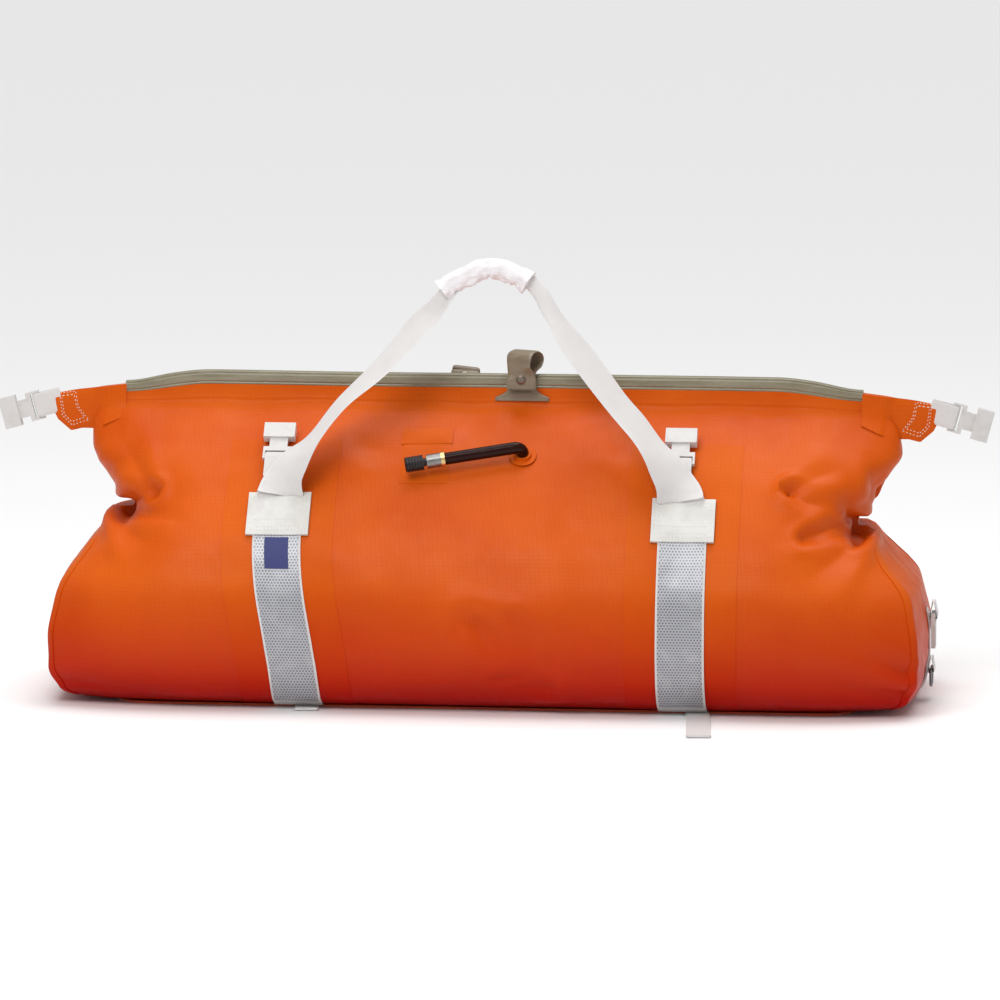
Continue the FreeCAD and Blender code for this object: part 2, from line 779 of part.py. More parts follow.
def make_ring(name):
    """A D-ring of round wire: a straight bar on top and a half round below, in the YZ plane."""
    bow = doc.addObject("Part::Torus", name + "_bow")
    bow.setExpression("Radius1", "(dims.ring_wide - dims.ring_wire) / 2")
    bow.setExpression("Radius2", "dims.ring_wire / 2")
    bow.Angle3 = 180
    bow.Placement = Placement(Vector(0, 0, 0), Rotation(Vector(0, 0, 1), 180))
    bar = doc.addObject("Part::Cylinder", name + "_bar")
    bar.setExpression("Radius", "dims.ring_wire / 2")
    bar.setExpression("Height", "dims.ring_wide - dims.ring_wire")
    half = (size("ring_wide") - size("ring_wire")) / 2
    bar.Placement = Placement(Vector(-half, 0, 0), Rotation(Vector(0, 1, 0), 90))
    knobs = []
    for number, along in enumerate((-half, half)):
        knob = doc.addObject("Part::Sphere", f"{name}_knob{number}")
        knob.setExpression("Radius", "dims.ring_wire / 2")
        knob.Placement = Placement(Vector(along, 0, 0), Rotation())
        knobs.append(knob)
    ring = doc.addObject("Part::MultiFuse", name)
    ring.Label = name
    ring.Shapes = [bow, bar, *knobs]
    return ring


def make_end_hardware(name):
    """Webbing down the middle of an end panel, with an adjuster plug and a D-ring hung on it."""
    half = size("narrow_web") / 2
    gap, web = size("ply_gap"), size("web_thick")
    stretch = block(size("end_seam"), FAR, -half, half, size("tape_low"), size("tape_high"))
    new_shape(f"end_tape_{name}", skin(gap, gap + web, stretch))
    facing = Rotation(Vector(0, 0, 1), 90).multiply(Rotation(Vector(1, 0, 0), 180))
    at = Vector(size("end_buckle_at"), 0, size("end_buckle_height"))
    web = make_web_loop(f"end_buckle_web_{name}", size("end_legs"), size("frame_deep"))
    place_piece(web, at, facing)
    place_piece(make_male_buckle(f"end_buckle_{name}"), at + Vector(0, 0, size("bar_play")), facing)
    at = Vector(size("end_ring_at"), 0, size("end_ring_height"))
    web = make_web_loop(f"end_ring_web_{name}", size("ring_legs"), size("ring_wire"))
    place_piece(web, at, facing)
    upright = Rotation(Vector(0, 0, 1), 90).multiply(Rotation(Vector(1, 0, 0), 90))
    place_piece(make_ring(f"end_ring_{name}"), at, upright)


# ---- oral inflation valve ----


def turned_body(name, profile):
    """A body turned about its own Z axis from (radius, height) corners."""
    body = new_body(name)
    sketch = new_sketch(body, name + "_outline", "XZ_Plane")
    draw_outline(sketch, profile)
    turned = body.newObject("PartDesign::Revolution", name + "_turned")
    turned.Profile = sketch
    turned.ReferenceAxis = (sketch, ["V_Axis"])
    turned.Angle = 360
    return body


def make_valve_tube():
    """The bent tube: a short stub out of the wall, a quarter bend, and a run along -X."""
    body = new_body("valve_tube")
    out, bend, reach = size("valve_out"), size("valve_bend"), size("tube_reach")
    start = size("tube_start")
    path = new_sketch(body, "valve_tube_path", "XZ_Plane")
    path.addGeometry(Part.LineSegment(Vector(0, start, 0), Vector(0, out - bend, 0)))
    arc = Part.Circle(Vector(-bend, out - bend, 0), Vector(0, 0, 1), bend)
    path.addGeometry(Part.ArcOfCircle(arc, 0, math.pi / 2))
    path.addGeometry(Part.LineSegment(Vector(-bend, out, 0), Vector(-reach, out, 0)))
    path.addConstraint(Sketcher.Constraint("Coincident", 0, 2, 1, 1))
    path.addConstraint(Sketcher.Constraint("Coincident", 1, 2, 2, 1))
    section = new_sketch(body, "valve_tube_section", "XY_Plane", (0, 0, start))
    draw_circle(section, "dims.tube_radius")
    section.addGeometry(Part.Circle(Vector(0, 0, 0), Vector(0, 0, 1), 1.0))
    section.addConstraint(Sketcher.Constraint("Coincident", 1, 3, -1, 1))
    place = section.addConstraint(Sketcher.Constraint("Radius", 1, 1.0))
    section.setExpression(f"Constraints[{place}]", "dims.tube_bore")
    pipe = body.newObject("PartDesign::AdditivePipe", "valve_tube_pipe")
    pipe.Profile = section
    pipe.Spine = path
    doc.recompute()
    return body


def cap_profile():
    """The cap with its ribbed side, waist and the stem that slides in the barrel."""
    radius, long = size("cap_radius"), size("cap_long")
    stem, waist = size("stem_radius"), size("waist_radius")
    foot, from_, to = -size("stem_long"), size("waist_from"), size("waist_to")
    points = [(0, foot), (stem, foot), (stem, from_), (waist, from_), (waist, to), (radius, to)]
    ribs, valley = int(size("cap_ribs")), radius - size("rib_depth")
    pitch = (long - to - size("rib_depth")) / ribs
    for number in range(ribs):
        low = to + number * pitch
        points += [(radius, low + pitch * 0.6), (valley, low + pitch * 0.7)]
        points += [(valley, low + pitch * 0.9), (radius, low + pitch)]
    points += [(radius - 2 * size("rib_depth"), long), (0, long)]
    return points


def make_valve():
    """Weld flange, bent tube, brass ring, barrel and pull cap, on the front just below the zip."""
    tube, barrel, stem = size("tube_radius"), size("barrel_radius"), size("stem_radius")
    height, reach, out = size("valve_height"), size("tube_reach"), size("valve_out")
    fit = size("turn_slack")
    wide, collar, top = size("flange_radius"), size("collar_radius"), size("collar_high")
    low, seat = size("flange_low"), size("flange_low") + 1.0
    high = low + size("flange_thick")
    flange = [(0, low), (wide, low), (wide, high), (collar, high + 0.4), (collar, top)]
    flange += [(tube + fit, top), (tube + fit, seat), (0, seat)]
    on_wall = Rotation(Vector(1, 0, 0), size("valve_slope"))
    frame = on_wall.multiply(Rotation(Vector(0, 0, 1), size("valve_droop")))
    at = Vector(size("elbow_at"), -half_depth(height) - size("valve_off"), height)
    place_piece(turned_body("valve_flange", flange), at, frame)
    place_piece(make_valve_tube(), at, frame)
    along = frame.multiply(Rotation(Vector(0, 1, 0), -90))
    end = at + frame.multVec(Vector(-reach, 0, out))
    step = along.multVec(Vector(0, 0, 1))
    bore = size("tube_bore")
    thick, rim = size("ring_long"), size("ring_radius")
    ring = [(bore, 0), (rim, 0), (rim, thick), (bore, thick)]
    place_piece(turned_body("valve_ring", ring), end, along)
    long = size("barrel_long")
    body = [(stem + fit, 0), (barrel, 0), (barrel, long), (stem + fit, long)]
    place_piece(turned_body("valve_barrel", body), end + step * thick, along)
    place_piece(turned_body("valve_cap", cap_profile()), end + step * (thick + long), along)


def make_keeper():
    """The fabric keeper on the slope behind the valve cap."""
    x0, x1 = size("keeper_left"), size("keeper_left") + size("keeper_wide")
    low, high = size("keeper_low"), size("keeper_high")
    gap = size("keeper_gap")
    sheet = skin(gap, gap + size("keeper_thick"), block(x0, x1, -FAR, 0, low, high))
    new_shape("valve_keeper", sheet)


# ---- assembly ----


def main():
    make_shell()
    make_base()
    for side, name in ((-1, "left"), (1, "right")):
        make_strap_set(side, name)
    doc.recompute()
    copy_to_rear("handle_patch_front_left", "handle_patch_rear_right")
    copy_to_rear("handle_patch_front_right", "handle_patch_rear_left")
    make_label()
    make_front_handle()
    make_rear_handle()
    for name in ("front", "rear"):
        front = name == "front"
        lean = 0.0 if front else size("rear_lean")
        pieces = [
            make_neck(f"neck_band_{name}"),
            make_zip_lip(f"zip_lip_{name}", front),
            make_pull_foot(f"pull_foot_{name}"),
            make_pull_loop(f"pull_loop_{name}", lean),
            make_rivet(f"pull_rivet_{name}", lean),
        ]
        if not front:
            for piece in pieces:
                half_turn(piece)
    for side, name in ((-1, "left"), (1, "right")):
        strap = side * size("strap_at")
        make_slope_buckle(strap - size("front_buckle_shift"), f"front_{name}", make_female_buckle)
        for piece in make_slope_buckle(-strap, f"rear_{name}", make_male_buckle):
            half_turn(piece)
    make_end_tab("right")
    for piece in make_end_tab("left"):
        half_turn(piece)
    make_end_hardware("right")
    make_valve()
    make_keeper()
    make_tail("tail_right")
    make_tail("tail_left")


def export_parts():
    """Checks every object and writes one STEP file for each top-level piece."""
    doc.recompute()
    bad = [thing.Name for thing in doc.Objects if {"Invalid", "Error"} & set(thing.State)]
    if bad:
        raise RuntimeError(f"these did not compute: {bad}")
    for piece in doc.Objects:
        if piece.TypeId not in ("Part::Feature", "Part::MultiFuse", "PartDesign::Body"):
            continue
        if piece.Shape.isNull() or not piece.Shape.isValid():
            raise RuntimeError(f"{piece.Label} has no valid shape")
        piece.Shape.exportStep(f"parts/{piece.Label}.step")


main()
export_parts()
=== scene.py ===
import math

import bpy
import numpy as np
from mathutils import Matrix, Vector, noise


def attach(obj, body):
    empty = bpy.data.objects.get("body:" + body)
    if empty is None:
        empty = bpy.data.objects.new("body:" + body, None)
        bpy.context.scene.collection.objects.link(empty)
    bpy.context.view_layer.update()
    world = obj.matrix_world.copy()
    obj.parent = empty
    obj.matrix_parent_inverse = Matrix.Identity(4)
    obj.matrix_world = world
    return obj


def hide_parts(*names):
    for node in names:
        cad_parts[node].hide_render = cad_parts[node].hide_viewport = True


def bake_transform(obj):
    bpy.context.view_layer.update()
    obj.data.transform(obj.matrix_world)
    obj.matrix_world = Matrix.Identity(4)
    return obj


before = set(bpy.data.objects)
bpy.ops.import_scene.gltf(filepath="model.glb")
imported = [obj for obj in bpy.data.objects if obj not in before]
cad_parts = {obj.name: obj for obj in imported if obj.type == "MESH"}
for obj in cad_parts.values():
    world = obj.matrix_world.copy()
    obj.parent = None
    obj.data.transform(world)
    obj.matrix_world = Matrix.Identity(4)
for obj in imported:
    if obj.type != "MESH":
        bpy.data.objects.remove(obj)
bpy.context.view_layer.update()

MM = 0.001
SIDES = ((-1, "front"), (1, "rear"))
HALVES = ((-1, "left"), (1, "right"))

# ---- the bag's driving sizes, in millimetres, as in the CAD model ----
# height, half depth and end-panel half depth of the shell, from the floor upwards
LEVELS = (
    (5.0, 118.0, 92.0),
    (16.0, 138.0, 114.0),
    (40.0, 157.0, 127.0),
    (72.0, 165.0, 125.0),
    (112.0, 163.0, 108.0),
    (158.0, 148.0, 70.0),
    (203.0, 120.0, 10.0),
    (245.0, 84.0, 6.0),
    (282.0, 40.0, 5.0),
    (300.0, 16.0, 4.5),
)
LEVEL_HEIGHTS, LEVEL_DEPTHS, LEVEL_END_DEPTHS = zip(*LEVELS)
# height and half length of the bag's ends: a full belly, a sharp pinch, and a wing up to the tab
END_SHAPE = (
    *((5, 428), (16, 447), (40, 455), (72, 458), (105, 453), (123, 449)),
    *((140, 439), (156, 427), (174, 416), (185, 409), (191, 401), (195, 387)),
    *((199, 386), (212, 395), (240, 415), (262, 426), (284, 426), (300, 419)),
)
FLOOR = 5.0  # height of the shell's underside
STRAIGHT_HALF = 290.0  # half the straight stretch of the front and rear
STRAP_AT = 212.0
WIDE_WEB = 50.8
NARROW_WEB = 25.4
ZIP_HALF = 392.0
NECK_LOW = 300.0
NECK_TOP = 326.0
ZIP_FACE = 5.9
PATCH_LOW = 183.0
PATCH_HIGH = 223.0
PATCH_HALF = 33.0
WELD_HALF = 58.5
WELD_TOP = 274.0
END_BELLY = 6.0
STRAP_SLANT = 20.0
FRONT_BUCKLE_SHIFT = 7.0
CORNER = 0.42  # share of an end outline that each corner curve takes


# ---- mesh helpers ----

SHARP = math.radians(55)  # faces meeting at more than this keep a crisp edge


def new_object(name, points, faces, material, uv=None, flip=False):
    """A smooth-shaded object from points in millimetres, with one cloth place per point."""
    if flip:
        faces = [face[::-1] for face in faces]
    mesh = bpy.data.meshes.new(name)
    mesh.from_pydata([tuple(c * MM for c in point) for point in points], [], faces)
    mesh.validate()
    mesh.polygons.foreach_set("use_smooth", [True] * len(mesh.polygons))
    if uv is not None:
        layer = mesh.uv_layers.new(name="cloth")
        corner_point = np.empty(len(mesh.loops), dtype=int)
        mesh.loops.foreach_get("vertex_index", corner_point)
        layer.data.foreach_set("uv", (np.asarray(uv, float) * MM)[corner_point].ravel())
    mesh.materials.append(material)
    made = bpy.data.objects.new(name, mesh)
    bpy.context.scene.collection.objects.link(made)
    mesh.set_sharp_from_angle(angle=SHARP)
    return made


def grid_faces(rows, columns, closed=False):
    """Quads of a grid whose points run along the columns first; closed joins each row's two ends."""
    faces = []
    for row in range(rows - 1):
        for column in range(columns if closed else columns - 1):
            here, after = row * columns + column, row * columns + (column + 1) % columns
            faces.append((here, after, after + columns, here + columns))
    return faces


def tube_faces(stations, sides):
    """Faces of a closed tube: its sides and its two ends."""
    last = (stations - 1) * sides
    ends = [tuple(range(sides))[::-1], tuple(range(last, last + sides))]
    return grid_faces(stations, sides, closed=True) + ends


def thicken(obj, wall):
    """Gives an open surface a wall inwards, and makes it final."""
    modifier = obj.modifiers.new("wall", "SOLIDIFY")
    modifier.thickness = wall * MM
    modifier.offset = -1
    bpy.context.view_layer.update()
    seen = obj.evaluated_get(bpy.context.evaluated_depsgraph_get())
    mesh = bpy.data.meshes.new_from_object(seen)
    obj.modifiers.clear()
    obj.data = mesh
    mesh.set_sharp_from_angle(angle=SHARP)


def fasten(piece, slot, body, *nodes):
    """Hides the CAD nodes that a piece stands for and parents it to the body that it moves with; the slot is
    not used.
    """
    if nodes:
        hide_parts(*nodes)
    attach(piece, body)


def smooth_step(value, low, high):
    part = min(max((value - low) / (high - low), 0.0), 1.0)
    return part * part * (3 - 2 * part)


def bump(distance, width):
    return math.exp(-((distance / width) ** 2))


def crease(distance, width):
    """A valley with a crisp bottom, 1 on its line."""
    return math.exp(-abs(distance) / width)


def rough(x, y, z, scale, seed=0.0):
    """Smooth noise from -1 to 1 with features about scale millimetres wide."""
    return noise.noise(Vector((x / scale + seed, y / scale - seed, z / scale + 2 * seed)))


# ---- smooth profiles through the level table ----


def smooth_through(heights, values):
    """A function of height that passes smoothly through the values and never overshoots them."""
    heights, values = np.array(heights, float), np.array(values, float)
    rises = np.diff(values) / np.diff(heights)
    slopes = np.zeros(len(values))
    for place in range(1, len(values) - 1):
        before, after = rises[place - 1], rises[place]
        if before * after > 0:
            slopes[place] = 2 * before * after / (before + after)
    slopes[0], slopes[-1] = rises[0], rises[-1]

    def at(height):
        spot = int(np.clip(np.searchsorted(heights, height) - 1, 0, len(heights) - 2))
        span = heights[spot + 1] - heights[spot]
        t = min(max((height - heights[spot]) / span, 0.0), 1.0)
        return float(
            values[spot] * (1 + 2 * t) * (1 - t) ** 2
            + slopes[spot] * span * t * (1 - t) ** 2
            + values[spot + 1] * t * t * (3 - 2 * t)
            + slopes[spot + 1] * span * t * t * (t - 1)
        )

    return at


half_deep_at = smooth_through(LEVEL_HEIGHTS, LEVEL_DEPTHS)
end_deep_at = smooth_through(LEVEL_HEIGHTS, LEVEL_END_DEPTHS)
end_profile = smooth_through(*zip(*END_SHAPE))


def half_long_at(height, side=-1):
    """Half length at a height. The right end is pinched lower down, and is fuller above the pinch."""
    if side < 0:
        return end_profile(height)
    lower = 12.0 * bump(height - 184, 36)
    return end_profile(min(height + lower, NECK_LOW)) + 8.0 * bump(height - 258, 34)


# ---- the soft surface of the shell ----

# creases on the front and the rear: start and end (x, height), width and depth
FRONT_FOLDS = (
    ((-388, 200), (-336, 226), 11, 8.0),
    ((-344, 228), (-374, 214), 6, 4.0),
    ((-352, 222), (-398, 280), 9, 4.5),
    ((-392, 194), (-352, 172), 10, 6.0),
    ((-404, 240), (-360, 272), 9, 2.5),
    ((392, 184), (378, 206), 9, 9.0),
    ((386, 198), (380, 226), 7, 7.0),
    ((320, 233), (378, 208), 8, 7.5),
    ((338, 187), (386, 198), 9, 5.0),
    ((322, 236), (374, 253), 7, 4.0),
    ((392, 180), (340, 146), 12, 5.0),
    ((398, 214), (426, 262), 9, 4.0),
    ((408, 226), (396, 284), 8, 3.0),
    ((-6, 102), (70, 62), 16, 4.0),
    ((2, 98), (18, 64), 9, 3.0),
    ((40, 106), (64, 66), 10, 2.5),
    ((70, 30), (-60, 20), 13, 3.5),
    ((20, 38), (70, 50), 8, 2.5),
    ((96, 196), (150, 172), 24, 2.0),
    ((-140, 196), (-60, 176), 26, 1.8),
    ((-130, 268), (-60, 262), 13, 1.6),
    ((440, 24), (330, 44), 11, 5.0),
    ((446, 52), (400, 76), 9, 3.5),
    ((-440, 24), (-330, 16), 14, 3.5),
)
REAR_FOLDS = (
    ((-396, 204), (-340, 222), 13, 7.0),
    ((-352, 228), (-402, 262), 12, 5.0),
    ((398, 202), (350, 224), 12, 6.5),
    ((360, 226), (404, 262), 13, 5.0),
    ((376, 192), (330, 168), 15, 4.0),
    ((-372, 190), (-326, 172), 15, 3.5),
    ((-60, 96), (30, 120), 28, 3.0),
    ((-30, 30), (90, 22), 17, 2.5),
    ((60, 230), (120, 214), 20, 2.0),
)


def distance_to_line(x, z, start, end):
    """Distance in the front view from a point to a stretch of line, and how far along that is."""
    dx, dz = end[0] - start[0], end[1] - start[1]
    along = ((x - start[0]) * dx + (z - start[1]) * dz) / (dx * dx + dz * dz)
    t = min(max(along, 0.0), 1.0)
    return math.hypot(x - start[0] - t * dx, z - start[1] - t * dz), t


def fabric_swell(x, y, z):
    """How far the real fabric stands out from the plain form, in millimetres."""
    folds = FRONT_FOLDS if y < 0 else REAR_FOLDS
    out = 2.4 * rough(x, y, z, 120, 3.0) + 1.0 * rough(x, y * 2, z, 42, 9.0)
    for start, end, width, depth in folds:
        away, t = distance_to_line(x, z, start, end)
        spread = width * (0.75 + 0.9 * t)
        if away < 4 * spread:
            fade = depth * (1.1 - t) ** 0.8
            out -= fade * (0.45 * bump(away, spread) + 0.75 * crease(away, 0.7 * spread))
            out += 0.55 * fade * bump(away - 1.9 * spread, 0.9 * spread)
    strap = bump(abs(x) - STRAP_AT, 46)
    out -= 1.6 * strap * smooth_step(z, 20, 60) * (1 - smooth_step(z, 230, 270))
    neck = smooth_step(z, 236, 292) * (1 - smooth_step(abs(x), 385, 400))
    phase = x / 17.0 + 3.0 * rough(x, 0, 0, 160, 5.0 if y < 0 else 8.0)
    out += 1.5 * neck * math.sin(phase) * (0.6 + 0.4 * rough(x, 0, z, 50, 2.0))
    end = smooth_step(abs(x), 330, 400) * bump(z - 203, 42)
    fan = math.atan2(z - 203, 430 - abs(x))
    out += 0.9 * end * math.sin(7 * fan + (1.3 if x > 0 else 0.2))
    return out


def corner_curve(t, long, deep, end_deep):
    """x and y of the curve from the straight side (t = 0) round to the end panel (t = 1)."""
    a, b, c, d = (1 - t) ** 3, 3 * t * (1 - t) ** 2, 3 * t * t * (1 - t), t**3
    x = STRAIGHT_HALF * (a + b) + 0.6 * (long - STRAIGHT_HALF) * b + long * (c + d)
    y = deep * (a + b) + (end_deep + 0.45 * (deep - end_deep)) * c + end_deep * d
    return x, y


def outline_point(height, along):
    """A point of the plain form at a height: along runs 0 to 4 over front, right, rear and left."""
    deep, end_deep = half_deep_at(height), end_deep_at(height)
    side = int(along) % 4
    part = along - int(along)
    if side in (0, 2):
        facing = -1 if side == 0 else 1
        return STRAIGHT_HALF * (2 * part - 1) * -facing, facing * deep
    # the right side runs from the front corner over the end to the rear corner, the left one back
    end = 1 if side == 1 else -1
    long = half_long_at(height, end)
    if CORNER <= part <= 1 - CORNER:
        across = (part - CORNER) / (1 - 2 * CORNER)
        belly = END_BELLY * smooth_step(end_deep, 20, 90) * 4 * across * (1 - across)
        return end * (long + belly), -end * end_deep * (1 - 2 * across)
    x, y = corner_curve(min(part, 1 - part) / CORNER, long, deep, end_deep)
    return end * x, (-end if part < CORNER else end) * y


def plain_normal(height, along):
    """The outward direction of the plain form, by small steps both ways."""
    step, rise = 0.002, 1.0
    low, high = max(height - rise, FLOOR), min(height + rise, NECK_LOW)
    x0, y0 = outline_point(height, (along - step) % 4)
    x1, y1 = outline_point(height, (along + step) % 4)
    xa, ya = outline_point(low, along)
    xb, yb = outline_point(high, along)
    across = Vector((x1 - x0, y1 - y0, 0))
    up = Vector((xb - xa, yb - ya, high - low))
    return across.cross(up).normalized()


def shell_point(height, along):
    """A point of the soft surface and its outward direction."""
    x, y = outline_point(height, along)
    normal = plain_normal(height, along)
    out = fabric_swell(x, y, height) * smooth_step(height, 4, 16)
    return Vector((x, y, height)) + normal * out, normal


def side_along(x, side):
    """Where on the outline the straight front (-1) or rear (1) has this x."""
    part = (x / STRAIGHT_HALF * (1 if side < 0 else -1) + 1) / 2
    return part if side < 0 else 2 + part


def end_along(half, side, turn):
    """A place on an end corner of the outline, for a turn measured from the straight side."""
    if half > 0:
        return 1 + turn if side < 0 else 2 - turn
    return (4 - turn) % 4 if side < 0 else 3 + turn


def along_for(x, side, height):
    """Where on the outline at a height the front (-1) or rear (1) has this x, corners included."""
    if abs(x) <= STRAIGHT_HALF:
        return side_along(x, side)
    long = half_long_at(height, x)
    low, high = 0.0, 1.0
    for _ in range(24):
        t = (low + high) / 2
        if corner_curve(t, long, 0, 0)[0] < abs(x):
            low = t
        else:
            high = t
    return end_along(x, side, CORNER * low)


def profile_heights(count):
    """Heights from floor to neck, evenly spaced along the curves of the side and the ends."""
    fine = np.linspace(FLOOR, NECK_LOW, 600)
    deep = np.array([half_deep_at(height) for height in fine])
    long = np.array([half_long_at(height) for height in fine])
    steps = np.sqrt(np.diff(fine) ** 2 + np.diff(deep) ** 2 + np.diff(long) ** 2)
    run = np.concatenate([[0], np.cumsum(steps)])
    return np.interp(np.linspace(0, run[-1], count), run, fine), run[-1]


def outline_stations():
    """Even stations round the outline: 100 on each straight side and 84 on each turning end."""
    stations = []
    for side, count in enumerate((100, 84, 100, 84)):
        stations += [side + number / count for number in range(count)]
    return stations


def make_shell(material):
    """The welded fabric body, from the floor up to the line where the neck bands start."""
    heights, run = profile_heights(118)
    stations = outline_stations()
    points, uv = [], []
    floor_rings = (0.0, 0.35, 0.7, 0.93)
    for shrink in floor_rings:
        for along in stations:
            x, y = outline_point(FLOOR, along)
            points.append((x * shrink, y * shrink, FLOOR))
            uv.append((x, y * shrink))
    for row, height in enumerate(heights):
        for along in stations:
            point, _ = shell_point(float(height), along)
            points.append(point)
            uv.append((point.x + point.y * 0.25, run * row / len(heights)))
    faces = grid_faces(len(floor_rings) + len(heights), len(stations), closed=True)
    shell = new_object("shell_fabric", points, faces, material, uv)
    thicken(shell, 1.2)
    panels = ("front_panel", "rear_panel", "floor_panel", "end_panel_left", "end_panel_right")
    fasten(shell, "shell", "bag", *panels)


def slant(x, z, side):
    """How far the left strap wanders to the right as it goes down the front."""
    if x > 0 or side > 0:
        return 0.0
    return STRAP_SLANT * (1 - smooth_step(z, 20, PATCH_LOW))


def edged(start, end, steps):
    """Even places from start to end, with each end twice: once on top and once turned down."""
    return [start] + [start + (end - start) * n / steps for n in range(steps + 1)] + [end]


def wrapped_sheet(name, material, x_range, z_range, side, lift, thick, puff=0.0, cells=(12, 40)):
    """A thin piece lying on the straight front or rear, with its edges turned down to the surface."""
    (x0, x1), (z0, z1) = x_range, z_range
    run_x, run_z = edged(x0, x1, cells[0]), edged(z0, z1, cells[1])
    points, uv = [], []
    for row, z in enumerate(run_z):
        for column, x in enumerate(run_x):
            x += slant(x, z, side) if abs(abs(x) - STRAP_AT) < WIDE_WEB / 2 else 0
            point, normal = shell_point(z, side_along(x, side))
            border = row in (0, len(run_z) - 1) or column in (0, len(run_x) - 1)
            u, v = (x - x0) / (x1 - x0) * 2 - 1, (z - z0) / (z1 - z0) * 2 - 1
            crown = puff * (1 - u**4) * (1 - v**4)
            points.append(point + normal * (lift if border else lift + thick + crown))
            uv.append((x, z))
    return new_object(name, points, grid_faces(len(run_z), len(run_x)), material, uv, flip=side > 0)


def belly_run(x0, x1, top, lift, columns):
    """Rows of points round the belly from the front top under the bag to the rear top."""
    heights = [float(height) for height in profile_heights(70)[0] if height <= top] + [top]
    across = [x0 + (x1 - x0) * column / columns for column in range(columns + 1)]
    rows = []
    for side, order in ((-1, heights[::-1]), (1, heights)):
        for z in order:
            spots = [shell_point(z, side_along(x + slant(x, z, side), side)) for x in across]
            rows.append([point + normal * lift for point, normal in spots])
        if side < 0:
            for y in (-100, 0, 100):
                under = [(x + slant(x, 0, -1) * (100 - y) / 200, y, FLOOR - lift) for x in across]
                rows.append([Vector(spot) for spot in under])
    return rows


def belly_band(name, material, mid, half, top, low, high, columns=10):
    """A band right round the belly between two lifts, with its long edges turned down."""
    outer = belly_run(mid - half, mid + half, top, high, columns)
    inner = belly_run(mid - half, mid + half, top, low, columns)
    outer = [inner[0], *outer, inner[-1]]
    inner = [inner[0], *inner, inner[-1]]
    points, uv = [], []
    along = 0.0
    for number, (over, under) in enumerate(zip(outer, inner)):
        if number:
            along += (over[0] - outer[number - 1][0]).length
        for point in (under[0], *over, under[-1]):
            points.append(point)
            uv.append((point.x, along))
    return new_object(name, points, grid_faces(len(outer), columns + 3), material, uv, flip=True)


# ---- ribbons and tubes ----


def smooth_rows(rows, count):
    """Rows of numbers passed through smoothly and sampled evenly by row number."""
    table = np.array(rows, float)
    padded = np.vstack([2 * table[0] - table[1], table, 2 * table[-1] - table[-2]])
    out = []
    for step in range(count + 1):
        where = step / count * (len(table) - 1)
        spot = min(int(where), len(table) - 2)
        t = where - spot
        a, b, c, d = padded[spot : spot + 4]
        bend = (2 * a - 5 * b + 4 * c - d) * t**2 + (3 * b - a - 3 * c + d) * t**3
        out.append(0.5 * (2 * b + (c - a) * t + bend))
    return np.array(out)


def heading(centres, number):
    """The direction of a line of places at one of them."""
    before, after = centres[max(number - 1, 0)], centres[min(number + 1, len(centres) - 1)]
    return (Vector(after) - Vector(before)).normalized()


def ribbon(name, material, centres, acrosses, widths, thick, cups=None):
    """Flat webbing along a line: each station has a centre, a direction across and a width."""
    places = [-1 + n / 7 for n in range(15)]
    ring = [(u, 1) for u in places] + [(u, -1) for u in places[::-1]]
    points, uv = [], []
    run = 0.0
    for number, centre in enumerate(centres):
        tangent = heading(centres, number)
        if number:
            run += (Vector(centre) - Vector(centres[number - 1])).length
        across = Vector(acrosses[number])
        across = (across - tangent * across.dot(tangent)).normalized()
        normal = across.cross(tangent).normalized()
        half = widths[number] / 2
        cup = cups[number] if cups else 0.0
        for u, face in ring:
            edge = math.sqrt(max(1 - abs(u) ** 14, 0.0))
            bow = cup * (u * u - 0.33) * half
            points.append(Vector(centre) + across * (u * half) + normal * (face * edge * thick / 2 + bow))
            uv.append((u * half, run))
    return new_object(name, points, tube_faces(len(centres), len(ring)), material, uv)


def tube(name, material, centres, radii, sides, swell):
    """A flattened tube along a line; swell moves each ring point out, given its angle and the run."""
    points, uv = [], []
    run = 0.0
    for number, (centre, (wide, tall)) in enumerate(zip(centres, radii)):
        tangent = heading(centres, number)
        if number:
            run += (centre - centres[number - 1]).length
        side = tangent.cross(Vector((0, 0, 1))).normalized()
        top = side.cross(tangent)
        for n in range(sides):
            angle = 2 * math.pi * n / sides
            extra = swell(angle, run)
            reach = side * math.cos(angle) * (wide + extra) + top * math.sin(angle) * (tall + extra)
            points.append(centre + reach)
            uv.append((angle * wide, run))
    return new_object(name, points, tube_faces(len(centres), sides), material, uv)


# ---- neck bands and zip ----


def zip_drop(x):
    """The zip hangs a little lower towards each end."""
    return -9.0 * smooth_step(abs(x), 300, ZIP_HALF) + 1.0 * rough(x, 0, 0, 210, 4.0)


def zip_sway(x):
    """The closed lips wander together a little to front and rear."""
    return 2.2 * rough(x, 0, 0, 150, 11.0) * (1 - smooth_step(abs(x), 330, ZIP_HALF))


def half_stations(half, count):
    """x from the middle of the zip out to one end."""
    return [half * ZIP_HALF * n / count for n in range(count + 1)]


def bend_to_lip(piece):
    """Bakes the piece's placement into its mesh."""
    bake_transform(piece)


NECK_TALL = 27.0


def neck_lean(v):
    """How far the neck band stands out from the zip towards the shell, at a share v of its height."""
    return math.exp(-3 * v) - v * math.exp(-3)


